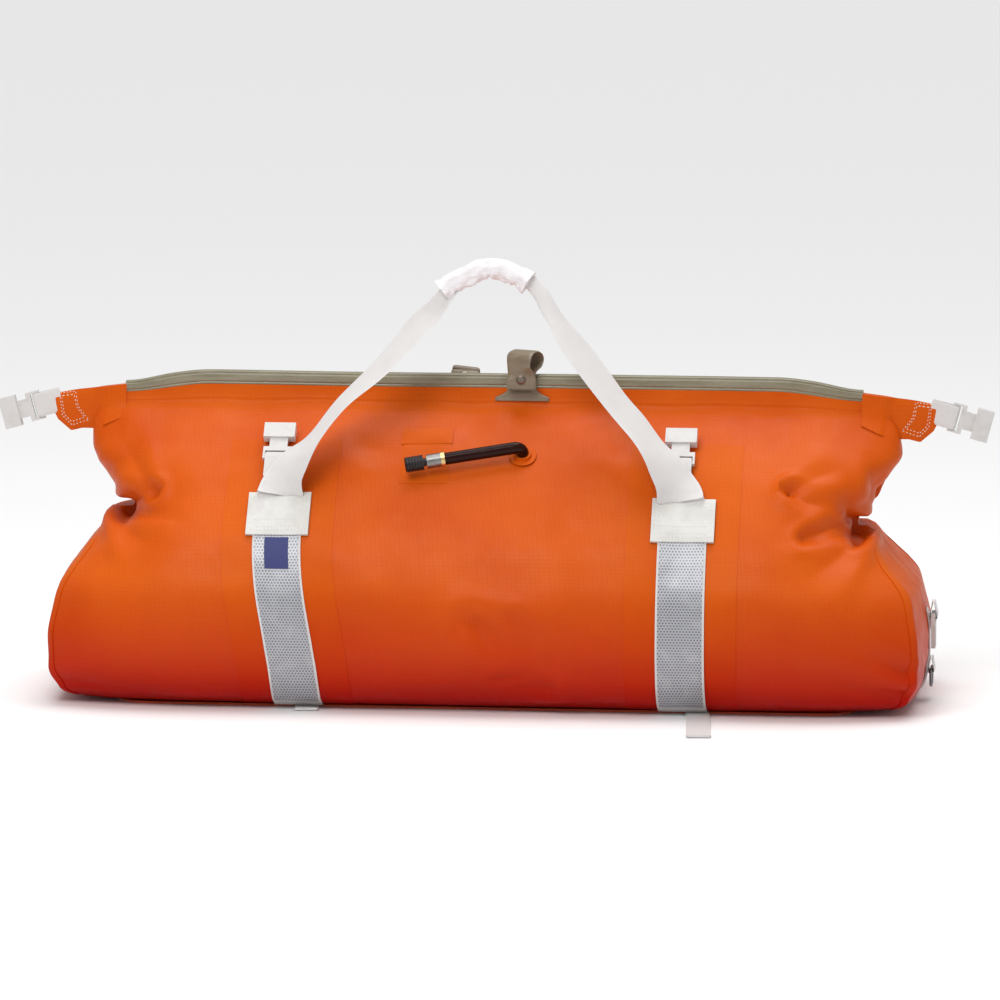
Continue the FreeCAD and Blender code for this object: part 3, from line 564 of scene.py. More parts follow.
def make_neck_half(material, side, side_name, half, half_name):
    """The band from the shell to the zip, with a welded overlap and small gathers."""
    rows = [n / 24 for n in range(25)]
    stations = half_stations(half, 110)
    points, uv = [], []
    for v in rows:
        for x in stations:
            foot, _ = shell_point(NECK_LOW, along_for(x, side, NECK_LOW))
            head = Vector((x, side * (ZIP_FACE - 2.0) + zip_sway(x), NECK_TOP + 1.5 + zip_drop(x)))
            gather = 0.5 * math.sin(math.pi * v) * math.sin(x / 9.0 + 4 * rough(x, 0, 0, 90, 6.0))
            overlap = 0.8 * smooth_step(v, 0.40, 0.44)
            y = head.y + (foot.y - head.y) * neck_lean(v) + side * (gather + overlap)
            points.append((foot.x + (head.x - foot.x) * v, y, foot.z + (head.z - foot.z) * v))
            uv.append((x, v * NECK_TALL))
    faces = grid_faces(len(rows), len(stations))
    flip = (half > 0) != (side < 0)
    band = new_object(f"neck_{side_name}_{half_name}", points, faces, material, uv, flip)
    thicken(band, 1.1)
    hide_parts(f"neck_band_{side_name}")
    bend_to_lip(band)


def lip_section(side):
    """One lip seen along X: rounded ribs on the outer face and a flat inner face."""
    outer = []
    for n in range(37):
        t = n / 36
        bead = math.sin(math.pi * t) ** 0.5 - 0.5 * bump(t - 0.2, 0.055) - 0.5 * bump(t - 0.84, 0.05)
        outer.append((side * (4.4 + 1.9 * bead), 0.2 + 14.4 * t))
    inner = [(side * 0.3, 14.0), (side * 0.3, 7.0), (side * 0.3, 0.6)]
    return [(side * 3.0, 0.0), *outer, (side * 2.6, 15.0), *inner]


def make_zip_half(material, side, side_name, half, half_name):
    """Half the length of one lip of the zip."""
    section = lip_section(side)
    stations = half_stations(half, 130)
    points, uv = [], []
    for x in stations:
        squeeze = 1 - 0.22 * smooth_step(abs(x), 340, ZIP_HALF)
        for y, z in section:
            points.append((x, y + zip_sway(x), NECK_TOP + zip_drop(x) + z * squeeze))
            uv.append((x, z))
    faces = tube_faces(len(stations), len(section))
    flip = (half > 0) == (side < 0)
    lip = new_object(f"zip_{side_name}_{half_name}", points, faces, material, uv, flip)
    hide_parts(f"zip_lip_{side_name}")
    bend_to_lip(lip)


# ---- straps, patches, tapes and label on the belly ----

TAPE_HALF = 23.2
LABEL_HALF = 12.5
PATCH_LIFT, PATCH_THICK, PATCH_PUFF = 1.5, 3.6, 1.6
STITCH = 3.6


def make_belly_straps(webbing, orange, silver, cream, thread):
    """The two belly straps on their weld bands, each with its tape and its two patches."""
    for half, name in HALVES:
        mid = half * STRAP_AT
        weld = belly_band(f"weld_{name}", orange, mid, WELD_HALF, WELD_TOP, -0.3, 0.55, 16)
        fasten(weld, "shell", "bag", f"weld_band_{name}")
        strap = belly_band(f"strap_{name}", webbing, mid, WIDE_WEB / 2, PATCH_LOW + 4, 0.8, 2.7)
        fasten(strap, "webbing", "bag", f"belly_strap_{name}")
        x_range, z_range = (mid - TAPE_HALF, mid + TAPE_HALF), (12, PATCH_LOW + 2)
        tape = wrapped_sheet(f"tape_{name}", silver, x_range, z_range, -1, 2.5, 0.7, cells=(10, 46))
        fasten(tape, "reflective", "bag", f"reflective_tape_front_{name}")
        for side, side_name in SIDES:
            make_patch(cream, thread, mid, side, f"{side_name}_{name}")


def make_label(navy):
    """The woven label on top of the left tape."""
    x_range = (-STRAP_AT - LABEL_HALF, -STRAP_AT + LABEL_HALF)
    label = wrapped_sheet("label", navy, x_range, (151, 181), -1, 3.1, 0.8, 0.3, (10, 10))
    fasten(label, "label", "bag", "woven_label")


def make_patch(cream, thread, mid, side, name):
    """The padded patch over a handle foot, stitched twice round its edge and once across."""
    x_range, z_range = (mid - PATCH_HALF, mid + PATCH_HALF), (PATCH_LOW, PATCH_HIGH)
    layers = (PATCH_LIFT, PATCH_THICK, PATCH_PUFF)
    patch = wrapped_sheet(f"patch_{name}", cream, x_range, z_range, side, *layers, (24, 20))
    fasten(patch, "patch", "bag", f"handle_patch_{name}")
    rows = []
    for inset in (4.0, 7.5):
        x0, x1 = mid - PATCH_HALF + inset, mid + PATCH_HALF - inset
        z0, z1 = PATCH_LOW + inset, PATCH_HIGH - inset
        rows.append([(x0, z0), (x1, z0), (x1, z1), (x0, z1), (x0, z0)])
    across = PATCH_LOW + 14
    rows.append([(x0, across), (x1, across)])
    lines = [[patch_spot(mid, side, x, z) for x, z in even_steps(row, STITCH)] for row in rows]
    fasten(stitches(f"patch_thread_{name}", thread, lines), "patch", "bag")


def patch_spot(mid, side, x, z):
    """A place on top of a patch, and the way out of it."""
    point, normal = shell_point(z, side_along(x, side))
    u = (x - mid) / PATCH_HALF
    v = (z - PATCH_LOW) / (PATCH_HIGH - PATCH_LOW) * 2 - 1
    return point + normal * (PATCH_LIFT + PATCH_THICK + PATCH_PUFF * (1 - u**4) * (1 - v**4)), normal


def even_steps(corners, pitch):
    """Even places along a run of straight lines."""
    out = []
    for (x0, z0), (x1, z1) in zip(corners, corners[1:]):
        count = max(int(math.hypot(x1 - x0, z1 - z0) / pitch), 1)
        out += [(x0 + (x1 - x0) * n / count, z0 + (z1 - z0) * n / count) for n in range(count)]
    return out + [corners[-1]]


def stitches(name, material, lines, share=0.68, thick=0.55):
    """Thread stitches along rows of (point, normal): each one a small raised diamond bar."""
    points, faces = [], []
    for line in lines:
        for (start, normal), (end, _) in zip(line, line[1:]):
            ahead = (end - start) * share
            side = ahead.cross(normal).normalized() * thick
            base = len(points)
            up = normal * thick
            down = normal * thick * 0.8
            middle = start + ahead * 0.5
            points += [start - down, middle + side - up * 0.2, start + ahead - down]
            points += [middle - side - up * 0.2, start + ahead * 0.25 + up, start + ahead * 0.75 + up]
            a, b, c, d, e, f = range(base, base + 6)
            faces += [(a, b, e), (b, f, e), (b, c, f), (c, d, f), (d, e, f), (d, a, e), (a, d, c, b)]
    return new_object(name, points, faces, material)


# ---- handles ----

HANDLE_FOOT = 221.5
HANDLE_OUT = 111.8
HANDLE_LEAN = math.radians(14)
HANDLE_BOW = 6.0  # how far the arms stand out in front of the buckles
HANDLE_STEPS = 90
REAR_STEPS = 150

# x, height, width and twist in degrees along each front arm, from the patch to the grip
LEFT_ARM = (
    (-212, 196, 49, 0),
    (-212, 222, 49, 0),
    (-206, 244, 46, 30),
    (-194, 262, 45, 46),
    (-175, 286, 44, 58),
    (-149, 319, 44, 62),
    (-115, 350, 45, 56),
    (-89, 377, 44, 50),
    (-70, 399, 38, 42),
    (-55, 413, 26, 25),
    (-45, 427, 19, 10),
    (-34, 440, 16, 0),
)
RIGHT_ARM = (
    (210, 196, 49, 0),
    (209, 222, 49, 0),
    (202, 242, 47, 34),
    (191, 261, 46, 44),
    (179, 277, 45, 50),
    (158, 302, 44, 50),
    (137, 325, 44, 54),
    (106, 364, 43, 50),
    (89, 386, 36, 46),
    (76, 404, 24, 40),
    (66, 418, 19, 20),
    (57, 433, 17, 8),
    (45, 446, 16, 0),
)
# x and height along the grip between the two arms
FRONT_GRIP = ((-47, 434), (-38, 441), (-25, 448), (-8, 456), (8, 458), (24, 454), (36, 449), (44, 444))
# x, height, distance from the shell and width of the rear handle, from its left patch to the middle
REAR_ROUTE = (
    (-212, 219, 5.2, 48),
    (-210, 214, 9.5, 48),
    (-200, 190, 9.5, 46),
    (-178, 158, 9.0, 42),
    (-140, 118, 9.0, 38),
    (-100, 84, 9.5, 32),
    (-70, 60, 10.5, 22),
    (-48, 50, 11.0, 16),
    (0, 47, 11.0, 15),
)


def handle_plane(x, z):
    """A point of the leaning plane of the front handle; below the hinge it follows the shell."""
    if z < HANDLE_FOOT:
        point, normal = shell_point(z, side_along(x, -1))
        return point + normal * 4.3
    bow = HANDLE_BOW * bump(z - 268, 26)
    return Vector((x, -HANDLE_OUT - bow + (z - HANDLE_FOOT) * math.tan(HANDLE_LEAN), z))


def arm_stations(arm):
    """Centres, directions across and widths along one arm of the front handle."""
    rows = smooth_rows(arm, HANDLE_STEPS)
    centres = [handle_plane(x, z) for x, z, _, _ in rows]
    inward = 1 if arm[0][0] < 0 else -1
    acrosses = []
    for number, (_, _, _, twist) in enumerate(rows):
        ahead = heading(centres, number)
        flat = Vector((inward, 0, 0))
        flat = (flat - ahead * flat.dot(ahead)).normalized()
        angle = math.radians(twist) * inward
        acrosses.append(flat * math.cos(angle) + flat.cross(ahead) * math.sin(angle))
    return centres, acrosses, [row[2] for row in rows]


def make_front_handle(webbing, sleeve_cloth):
    """The front handle stands up and leans back; each arm folds over at the top of its patch."""
    cups = [0.28 * smooth_step(n, 50, 86) for n in range(HANDLE_STEPS + 1)]
    low = handle_plane(0, 214) * MM
    for arm, name in ((LEFT_ARM, "left"), (RIGHT_ARM, "right")):
        piece = ribbon(f"handle_front_{name}", webbing, *arm_stations(arm), 2.2, cups)
        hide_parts("front_handle_strap")
        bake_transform(piece)
    centres = [handle_plane(x, z) for x, z in smooth_rows(FRONT_GRIP, 80)]
    make_sleeve("sleeve_front", sleeve_cloth, centres, "front_grip_sleeve", "handle_front")


def make_sleeve(name, material, centres, node, body):
    """The gathered sleeve round a grip: creased across, with hemmed ends and a seam underneath."""
    length = sum((b - a).length for a, b in zip(centres, centres[1:]))
    radii = []
    for number in range(len(centres)):
        part = number / (len(centres) - 1)
        open_end = 2.2 * (bump(part, 0.09) + bump(part - 1, 0.09))
        radii.append((8.2 + open_end, 11.0 + open_end))

    def creases(angle, run):
        under = 0.5 - 0.5 * math.sin(angle)
        fine = math.sin(run / 3.1 + 5 * noise.noise(Vector((run / 14, angle, 1.0))))
        broad = noise.noise(Vector((run / 13, 2 * math.cos(angle), 2 * math.sin(angle))))
        seam = -1.4 * bump(run - 0.55 * length, 2.2) * (0.4 + 0.6 * under)
        return 0.9 * fine * under + 1.7 * broad + seam

    sleeve = tube(name, material, centres, radii, 40, creases)
    fasten(sleeve, "webbing", body, node)


def make_rear_handle(webbing, sleeve_cloth):
    """The rear handle hangs over the rear of the belly, from the tops of its patches."""
    back = [(-x, z + 2 * (z < 200), lift, width) for x, z, lift, width in REAR_ROUTE[-2::-1]]
    rows = smooth_rows([*REAR_ROUTE, *back], REAR_STEPS)
    centres, normals = [], []
    for x, z, lift, _ in rows:
        point, normal = shell_point(z, side_along(x, 1))
        centres.append(point + normal * lift)
        normals.append(normal)
    acrosses = []
    for number, normal in enumerate(normals):
        tilt = 0.35 * math.sin(number / REAR_STEPS * 4 * math.pi)
        across = normal.cross(heading(centres, number))
        acrosses.append(across * math.cos(tilt) + normal * math.sin(tilt))
    strap = ribbon("handle_rear", webbing, centres, acrosses, [row[3] for row in rows], 2.2)
    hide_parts("rear_handle_strap")
    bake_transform(strap)
    grip = [centre for centre, row in zip(centres, rows) if abs(row[0]) < 50]
    make_sleeve("sleeve_rear", sleeve_cloth, grip, "rear_grip_sleeve", "handle_rear")


# ---- end tabs, webbing loops, end seams and tails ----

TAB_IN, TAB_OUT = 391.0, 473.0


def tab_edges(x):
    """Top and bottom of an end tab at a distance from the middle of the bag."""
    top = 325.0 - 10.0 * (x - TAB_IN) / (TAB_OUT - TAB_IN) - 1.5 * smooth_step(x, 440, 473)
    low = np.interp(x, [TAB_IN, 427, 440, 452, 466, TAB_OUT], [293, 277, 277, 274, 286, 300])
    return top, float(low)


def inside_depth(x, z):
    """Half thickness of what a tab covers: the neck, and below it the corner of the shell."""
    if z >= NECK_LOW:
        foot = abs(shell_point(NECK_LOW, along_for(min(x, 415), -1, NECK_LOW))[0].y)
        return 5.0 + (foot - 5.0) * math.exp((NECK_LOW - z) / 9)
    if x >= half_long_at(z, 1):
        return 0.0
    return abs(shell_point(z, along_for(x, -1, z))[0].y)


def tab_swell(x, z):
    """Half thickness of a tab: thin at its edge, and wrapped over the shell and webbing inside it."""
    top, low = tab_edges(x)
    v = (z - low) / (top - low) * 2 - 1
    border = min(TAB_OUT - x, (1 - abs(v)) * (top - low) / 2)
    plain = 1.0 + 1.6 * smooth_step(border, 0, 6) + 0.3 * rough(x, 0, z, 18, 2.0)
    cover = (inside_depth(x, z) + 1.2) * (1 - smooth_step(x, 412, 432))
    return max(plain, cover)


def tab_bow(x):
    """The tab curls a little to the front and back along its length."""
    return 1.5 * math.sin((x - TAB_IN) / 26.0) * smooth_step(x, 425, 450)


def tab_spot(half, face, x, z):
    """A point on the front (-1) or the back (1) of a tab."""
    return half * x, face * tab_swell(x, z) + tab_bow(x), z


def make_tab(orange, thread, half, name):
    """Both layers of an end tab as one closed form, with a double row of white stitching."""
    columns, rows = 36, 18
    points, uv = [], []
    for face in (-1, 1):
        for n in range(columns + 1):
            x = TAB_IN + (TAB_OUT - TAB_IN) * n / columns
            top, low = tab_edges(x)
            for m in range(rows + 1):
                z = low + (top - low) * m / rows
                points.append(tab_spot(half, face, x, z))
                uv.append((half * x, z))
    sheet = grid_faces(columns + 1, rows + 1)
    size = (columns + 1) * (rows + 1)
    back = [tuple(i + size for i in face)[::-1] for face in sheet]
    ring = [n * (rows + 1) for n in range(columns + 1)]
    ring += [columns * (rows + 1) + m for m in range(1, rows + 1)]
    ring += [n * (rows + 1) + rows for n in range(columns - 1, -1, -1)]
    ring += [m for m in range(rows - 1, 0, -1)]
    edge = [(a, b, b + size, a + size) for a, b in zip(ring, ring[1:] + ring[:1])]
    tab = new_object(f"tab_{name}", points, sheet + back + edge, orange, uv, flip=half > 0)
    fasten(tab, "shell", "bag", f"tab_front_{name}", f"tab_back_{name}")
    outline = [(464, 314), (447, 316), (444, 300), (433, 286), (451, 280), (461, 290), (464, 314)]
    lines = []
    for inset in (0.0, 3.2):
        corners = [(x + (453 - x) * inset / 15, z + (299 - z) * inset / 17) for x, z in outline]
        for face in (-1, 1):
            out = Vector((0, face, 0))
            lines.append([(Vector(tab_spot(half, face, x, z)), out) for x, z in even_steps(corners, 3.4)])
    fasten(stitches(f"tab_thread_{name}", thread, lines, 0.8, 0.6), "patch", "bag")


def web_loop(name, material, node, at, turn, legs, half_gap, meet):
    """Webbing folded round a bar: the fold is at a place, the legs come together behind it."""
    route = [(-meet, -legs), (-meet - 0.6, -legs * 0.7), (-half_gap * 0.9, -legs * 0.3), (-half_gap, -1.0)]
    for step in range(1, 8):
        angle = math.pi * step / 8
        route.append((-half_gap * math.cos(angle), half_gap * math.sin(angle)))
    route += [(-y, z) for y, z in route[3::-1]]
    rows = smooth_rows(route, 60)
    centres = [Vector(at) + turn @ Vector((0, y, z)) for y, z in rows]
    acrosses = [turn @ Vector((1, 0, 0))] * len(rows)
    loop = ribbon(name, material, centres, acrosses, [NARROW_WEB] * len(rows), 1.35)
    fasten(loop, "webbing", "bag", node)


def turn_about(axis, degrees):
    return Matrix.Rotation(math.radians(degrees), 3, axis)


LOOP_HIGH = 260.0  # height of the folds that hold the front and rear buckles
LOOP_OUT = float(np.interp(LOOP_HIGH, LEVEL_HEIGHTS, LEVEL_DEPTHS)) + 13.0
LOOP_LIE = -43  # degrees that these folds lie back on the slope
BAR_GAP, RING_GAP = 3.9, 3.2


def make_web_loops(webbing):
    """The loops that hold the eight hanging pieces, where the CAD model has their folds."""
    half_turn, lie = turn_about("Z", 180), turn_about("X", LOOP_LIE)
    for half, name in HALVES:
        at = Vector((half * STRAP_AT - FRONT_BUCKLE_SHIFT, -LOOP_OUT, LOOP_HIGH))
        web_loop(f"loop_front_{name}", webbing, f"buckle_web_front_{name}", at, lie, 26, BAR_GAP, 1.6)
        at = half_turn @ Vector((-half * STRAP_AT, -LOOP_OUT, LOOP_HIGH))
        back = half_turn @ lie
        web_loop(f"loop_rear_{name}", webbing, f"buckle_web_rear_{name}", at, back, 26, BAR_GAP, 1.6)
        side = turn_about("Z", 0 if half > 0 else 180)
        at, turn = side @ Vector((487, 0, 301)), side @ turn_about("Y", 105)
        web_loop(f"loop_tab_{name}", webbing, f"tab_web_{name}", at, turn, 26, BAR_GAP, 1.0)
    facing = turn_about("Z", 90) @ turn_about("X", 180)
    web_loop("loop_end_plug", webbing, "end_buckle_web_right", (468, 0, 90), facing, 16, BAR_GAP, 1.2)
    web_loop("loop_end_ring", webbing, "end_ring_web_right", (466, 0, 33), facing, 13, RING_GAP, 1.2)


def make_end_tape(webbing):
    """Webbing down the middle of the right-hand end panel."""
    points, uv = [], []
    rows, columns = 30, 8
    run_y = edged(-NARROW_WEB / 2, NARROW_WEB / 2, columns)
    for row in range(rows + 1):
        z = 14 + 84 * row / rows
        for place, y in enumerate(run_y):
            across = (1 + y / end_deep_at(z)) / 2
            point, normal = shell_point(z, 1 + CORNER + (1 - 2 * CORNER) * across)
            border = place in (0, len(run_y) - 1) or row in (0, rows)
            points.append(point + normal * (0.3 if border else 2.0))
            uv.append((y, z))
    tape = new_object("end_tape", points, grid_faces(rows + 1, len(run_y)), webbing, uv)
    fasten(tape, "webbing", "bag", "end_tape_right")


def make_end_seam(orange, side, side_name, half, half_name):
    """The welded overlap that runs up a corner of an end panel, from the floor to the notch."""
    points, uv = [], []
    rows, columns = 60, 6
    for row in range(rows + 1):
        z = 8 + 170 * row / rows
        fade = 1 - smooth_step(z, 160, 178)
        for place, part in enumerate(edged(0, 1, columns)):
            point, normal = shell_point(z, end_along(half, side, CORNER * (0.80 + 0.11 * part)))
            border = place in (0, columns + 2)
            points.append(point + normal * (-0.4 if border else 1.3 * fade - 0.3))
            uv.append((part * 12, z))
    faces = grid_faces(rows + 1, columns + 3)
    seam = new_object(f"end_seam_{half_name}_{side_name}", points, faces, orange, uv, flip=half * side > 0)
    fasten(seam, "shell", "bag")


# x, y and height along the loose strap ends, and how many stations their folded hems cover
TAILS = (
    ("right", ((227, -112, 1.6), (231, -150, 1.0), (235, -200, 1.1), (238, -240, 1.0), (240, -261, 1.6)), 15),
    ("left", ((-184, -112, 1.6), (-183, -122, 1.2), (-182, -132, 1.2), (-181, -141, 1.4)), 7),
)


def make_tails(webbing):
    """Loose strap ends lying on the ground in front of the bag, each with a hemmed end."""
    for name, route, hem in TAILS:
        centres = [Vector(row) for row in smooth_rows(route, 60)]
        count = len(centres)
        strap = ribbon(f"strap_end_{name}", webbing, centres, [(1, 0, 0)] * count, [NARROW_WEB] * count, 1.4)
        top = [centre + Vector((0, 0, 1.35)) for centre in centres[-hem:]]
        fold = ribbon(f"strap_hem_{name}", webbing, top, [(1, 0, 0)] * hem, [NARROW_WEB] * hem, 1.3)
        fasten(strap, "webbing", "bag", f"tail_{name}")
        fasten(fold, "webbing", "bag")


def make_keeper(orange):
    """The keeper patch behind the valve cap, with its folded top edge."""
    patch = wrapped_sheet("valve_keeper_patch", orange, (-89, -38), (235, 284), -1, 0.0, 0.5, 0.3, (20, 20))
    fold = wrapped_sheet("valve_keeper_fold", orange, (-91, -37), (272, 286), -1, 0.3, 0.9, 0.8, (20, 8))
    fasten(patch, "shell", "bag", "valve_keeper")
    fasten(fold, "shell", "bag")


# ---- pull loops ----

PULL_AT, PULL_OUT, PULL_FOOT = 32.0, 15.0, 329.0
FLARE_LOW, FLARE_TALL = 313.0, 18.0
# the strip seen along X: up its outer side, over the top as shares of the loop's size, and down
PULL_OUTER = ((-3.4, -2), (-3.7, 6), (-4.4, 13))
PULL_BULGE = ((-5.6, 0.58), (-5.6, 0.8), (-3.2, 0.95))
PULL_OVER = ((0.12, 1.02), (0.5, 1.03), (0.85, 0.93), (1.0, 0.76), (0.86, 0.58), (0.5, 0.47))
PULL_INNER = ((5.0, 13), (3.7, 6), (3.4, -2))


def pull_strip(side_name, material, half_turn, lean, rise, turned, loop, droop):
    """The finger loop: one strip folded over, that opens, twists and droops towards its top."""
    bulge = [(y, rise * z) for y, z in PULL_BULGE]
    over = [(loop * y, rise * z) for y, z in PULL_OVER]
    rows = smooth_rows([*PULL_OUTER, *bulge, *over, *PULL_INNER], 84)
    turn = half_turn @ turn_about("X", lean)
    foot = half_turn @ Vector((PULL_AT, -PULL_OUT, PULL_FOOT))
    centres, acrosses, widths = [], [], []
    for y, z in rows:
        twist = turn_about("Z", turned * smooth_step(z, 8, 0.6 * rise))
        sag = max(0.0, (z - 10) / (rise - 10)) ** 2
        centres.append(foot + turn @ twist @ Vector((0, y - droop * sag, z - 0.25 * droop * sag)))
        acrosses.append(turn @ twist @ Vector((1, 0, 0)))
        widths.append(31.0 - 3.0 * smooth_step(z, 4, 20) + 2.0 * smooth_step(z, 20, rise))
    strip = ribbon(f"pull_loop_{side_name}_strip", material, centres, acrosses, widths, 2.2)
    fasten(strip, "pull", f"pull_{side_name}", f"pull_loop_{side_name}")


def pull_flare(side_name, material, side):
    """The foot welded on the neck band: flared sides and a raised bar across it."""
    points, uv = [], []
    rows, columns = 24, 28
    for row in range(rows + 1):
        v = row / rows
        z = FLARE_LOW + FLARE_TALL * v
        lean = neck_lean((z - NECK_LOW) / NECK_TALL)
        half = 14.2 + 14.4 * min(1.0, 1.3 * (1 - v)) ** 3
        for column in range(columns + 1):
            u = column / columns * 2 - 1
            x = PULL_AT + u * half
            low = abs(shell_point(NECK_LOW, side_along(-side * x, side))[0].y)
            edge = min(1 - abs(u), v * 3, (1 - v) * 3) * 14
            raised = smooth_step(10 - abs(u * half), 0, 0.8) * smooth_step(2.4 - abs(z - 321), 0, 0.8)
            out = 6.4 + (low - 5.6) * lean + 1.5 * smooth_step(edge, -0.5, 1.2) + 0.8 * raised
            out += (PULL_OUT - 3.0 - out) * smooth_step(v, 0.72, 1.0)
            points.append((-side * x, side * out, z))
            uv.append((x, z))
    foot = new_object(f"pull_foot_{side_name}_flare", points, grid_faces(rows + 1, columns + 1), material, uv)
    thicken(foot, 1.6)
    fasten(foot, "pull", f"lip_{side_name}", f"pull_foot_{side_name}")


def make_pulls(material):
    """The front finger loop stands up; the rear one leans back and droops."""
    pull_strip("front", material, turn_about("Z", 0), 0, 36, -25, 22, 0)
    pull_strip("rear", material, turn_about("Z", 180), 55, 31, 8, 9, 16)
    for side, side_name in SIDES:
        pull_flare(side_name, material, side)


# ---- carried-over CAD nodes ----


def finish_node(node, material, edge):
    """Gives a CAD node its material and softens its edges."""
    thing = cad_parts[node]
    thing.data.materials.clear()
    thing.data.materials.append(material)
    rounding = thing.modifiers.new("edge", "BEVEL")
    rounding.width = edge * MM
    rounding.segments = 3
    rounding.limit_method = "ANGLE"
    rounding.angle_limit = math.radians(35)
    thing.data.polygons.foreach_set("use_smooth", [True] * len(thing.data.polygons))


# ---- materials ----

WAVE = 314.16  # a wave texture of scale WAVE / n repeats every n millimetres of metre coordinates


class Shader:
    """Builds one Principled material from small named steps."""

    def __init__(self, name, colour, roughness, metallic=0.0):
        self.material = bpy.data.materials.new(name)
        self.material.use_nodes = True
        self.nodes = self.material.node_tree.nodes
        self.links = self.material.node_tree.links
        self.surface = self.nodes["Principled BSDF"]
        self.surface.inputs["Base Color"].default_value = (*colour, 1)
        self.surface.inputs["Roughness"].default_value = roughness
        self.surface.inputs["Metallic"].default_value = metallic

    def set(self, socket, value):
        self.surface.inputs[socket].default_value = value
        return self

    def connect(self, output, socket):
        self.links.new(output, self.surface.inputs[socket])

    def add(self, kind, sockets=(), **settings):
        """A new node with its settings; sockets pairs each input with a value or another output."""
        node = self.nodes.new(kind)
        for key, value in settings.items():
            setattr(node, key, value)
        for socket, value in sockets:
            if isinstance(value, bpy.types.NodeSocket):
                self.links.new(value, node.inputs[socket])
            else:
                node.inputs[socket].default_value = value
        return node

    def place(self, scale=(1, 1, 1), cloth=False, spin=0.0):
        """A stretched coordinate in metres: Object space, or the cloth's own length and width."""
        if cloth:
            start = self.add("ShaderNodeUVMap", uv_map="cloth").outputs["UV"]
        else:
            start = self.add("ShaderNodeTexCoord").outputs["Object"]
        sockets = (("Scale", scale), ("Rotation", (0, 0, spin)), ("Vector", start))
        return self.add("ShaderNodeMapping", sockets).outputs["Vector"]

    def height(self):
        """Height above the ground in metres."""
        return self.add("ShaderNodeSeparateXYZ", (("Vector", self.place()),)).outputs["Z"]

    def noise(self, vector, scale, detail=3.0):
        sockets = (("Scale", scale), ("Detail", detail), ("Vector", vector))
        return self.add("ShaderNodeTexNoise", sockets).outputs["Fac"]

    def wave(self, vector, scale, direction="X", distortion=0.0):
        sockets = (("Scale", scale), ("Distortion", distortion), ("Vector", vector))
        return self.add("ShaderNodeTexWave", sockets, bands_direction=direction).outputs["Fac"]

    def vector_math(self, kind, *values):
        return self.add("ShaderNodeVectorMath", enumerate(values), operation=kind).outputs

    def lattice(self, vector, pitch, shift):
        """Distance in metres to the nearest point of one half of a honeycomb, pitch in millimetres."""
        cell = (pitch * MM, pitch * MM * math.sqrt(3), 1.0)
        vector = self.vector_math("DIVIDE", vector, cell)["Vector"]
        vector = self.vector_math("ADD", vector, (shift, shift, 0))["Vector"]
        vector = self.vector_math("FRACTION", vector)["Vector"]
        vector = self.vector_math("SUBTRACT", vector, (0.5, 0.5, 0))["Vector"]
        vector = self.vector_math("MULTIPLY", vector, (cell[0], cell[1], 0))["Vector"]
        return self.vector_math("LENGTH", vector)["Value"]

    def math(self, kind, a, b):
        return self.add("ShaderNodeMath", ((0, a), (1, b)), operation=kind).outputs[0]

    def ramp(self, fac, low, high, start=0, end=1):
        """Carries 0 to 1 between two thresholds onto two values."""
        limits = (("From Min", low), ("From Max", high), ("To Min", start), ("To Max", end))
        return self.add("ShaderNodeMapRange", (*limits, ("Value", fac)), clamp=True).outputs["Result"]

    def mix(self, fac, *colours):
        """A colour between two others, each a plain colour or another step's output."""
        full = [(*colour, 1) if isinstance(colour, tuple) else colour for colour in colours]
        sockets = ((0, fac), (6, full[0]), (7, full[1]))
        return self.add("ShaderNodeMix", sockets, data_type="RGBA").outputs[2]

    def bumps(self, *layers):
        """Stacked bump layers of (height, strength, distance in millimetres); gives the material."""
        before = None
        for height, strength, distance in layers:
            sockets = [("Strength", strength), ("Distance", distance * MM), ("Height", height)]
            if before is not None:
                sockets.append(("Normal", before))
            before = self.add("ShaderNodeBump", sockets).outputs["Normal"]
        self.connect(before, "Normal")
        return self.material


PAINTED_SHADE_RED = (0.44, 0.003, 0.0005)  # painted shade: the fabric is mixed towards deep red near the ground, where the belly is in shadow


def coated_fabric(name, colour, deep, grid=True):
    """Satin urethane-coated ripstop: fine weave, a stronger grid, soft mottling and scuffs, with painted
    shade that darkens it towards the ground.
    """
    shader = Shader(name, colour, 0.42)
    shader.set("Specular IOR Level", 0.11 if grid else 0.06)
    shader.set("Coat Weight", 0.02).set("Coat Roughness", 0.2)
    cloth, space = shader.place(cloth=True), shader.place()
    fine = shader.math("ADD", shader.wave(cloth, WAVE / 0.9, "X"), shader.wave(cloth, WAVE / 0.9, "Y"))
    rips = [shader.ramp(shader.wave(cloth, WAVE / 5, way), 0.94, 1.0) for way in ("X", "Y")]
    rip = shader.math("MAXIMUM", *rips)
    cloud = shader.noise(space, 60, 3)
    base = shader.mix(shader.ramp(shader.noise(space, 9, 5), 0.35, 0.7), colour, deep)
    # painted shade: from 140 mm down to 15 mm the colour goes over to the deep red of the shaded belly
    base = shader.mix(shader.ramp(shader.height(), 15 * MM, 140 * MM, 1, 0), base, PAINTED_SHADE_RED)
    marked = shader.mix(shader.ramp(rip, 0, 1, 0, 0.16), base, tuple(c * 0.6 for c in colour))
    shader.connect(marked, "Base Color")
    shader.connect(shader.ramp(cloud, 0.3, 0.75, 0.36, 0.52), "Roughness")
    return shader.bumps((cloud, 0.10, 0.8), (fine, 0.12, 0.12), (rip, 0.35 if grid else 0.15, 0.2))


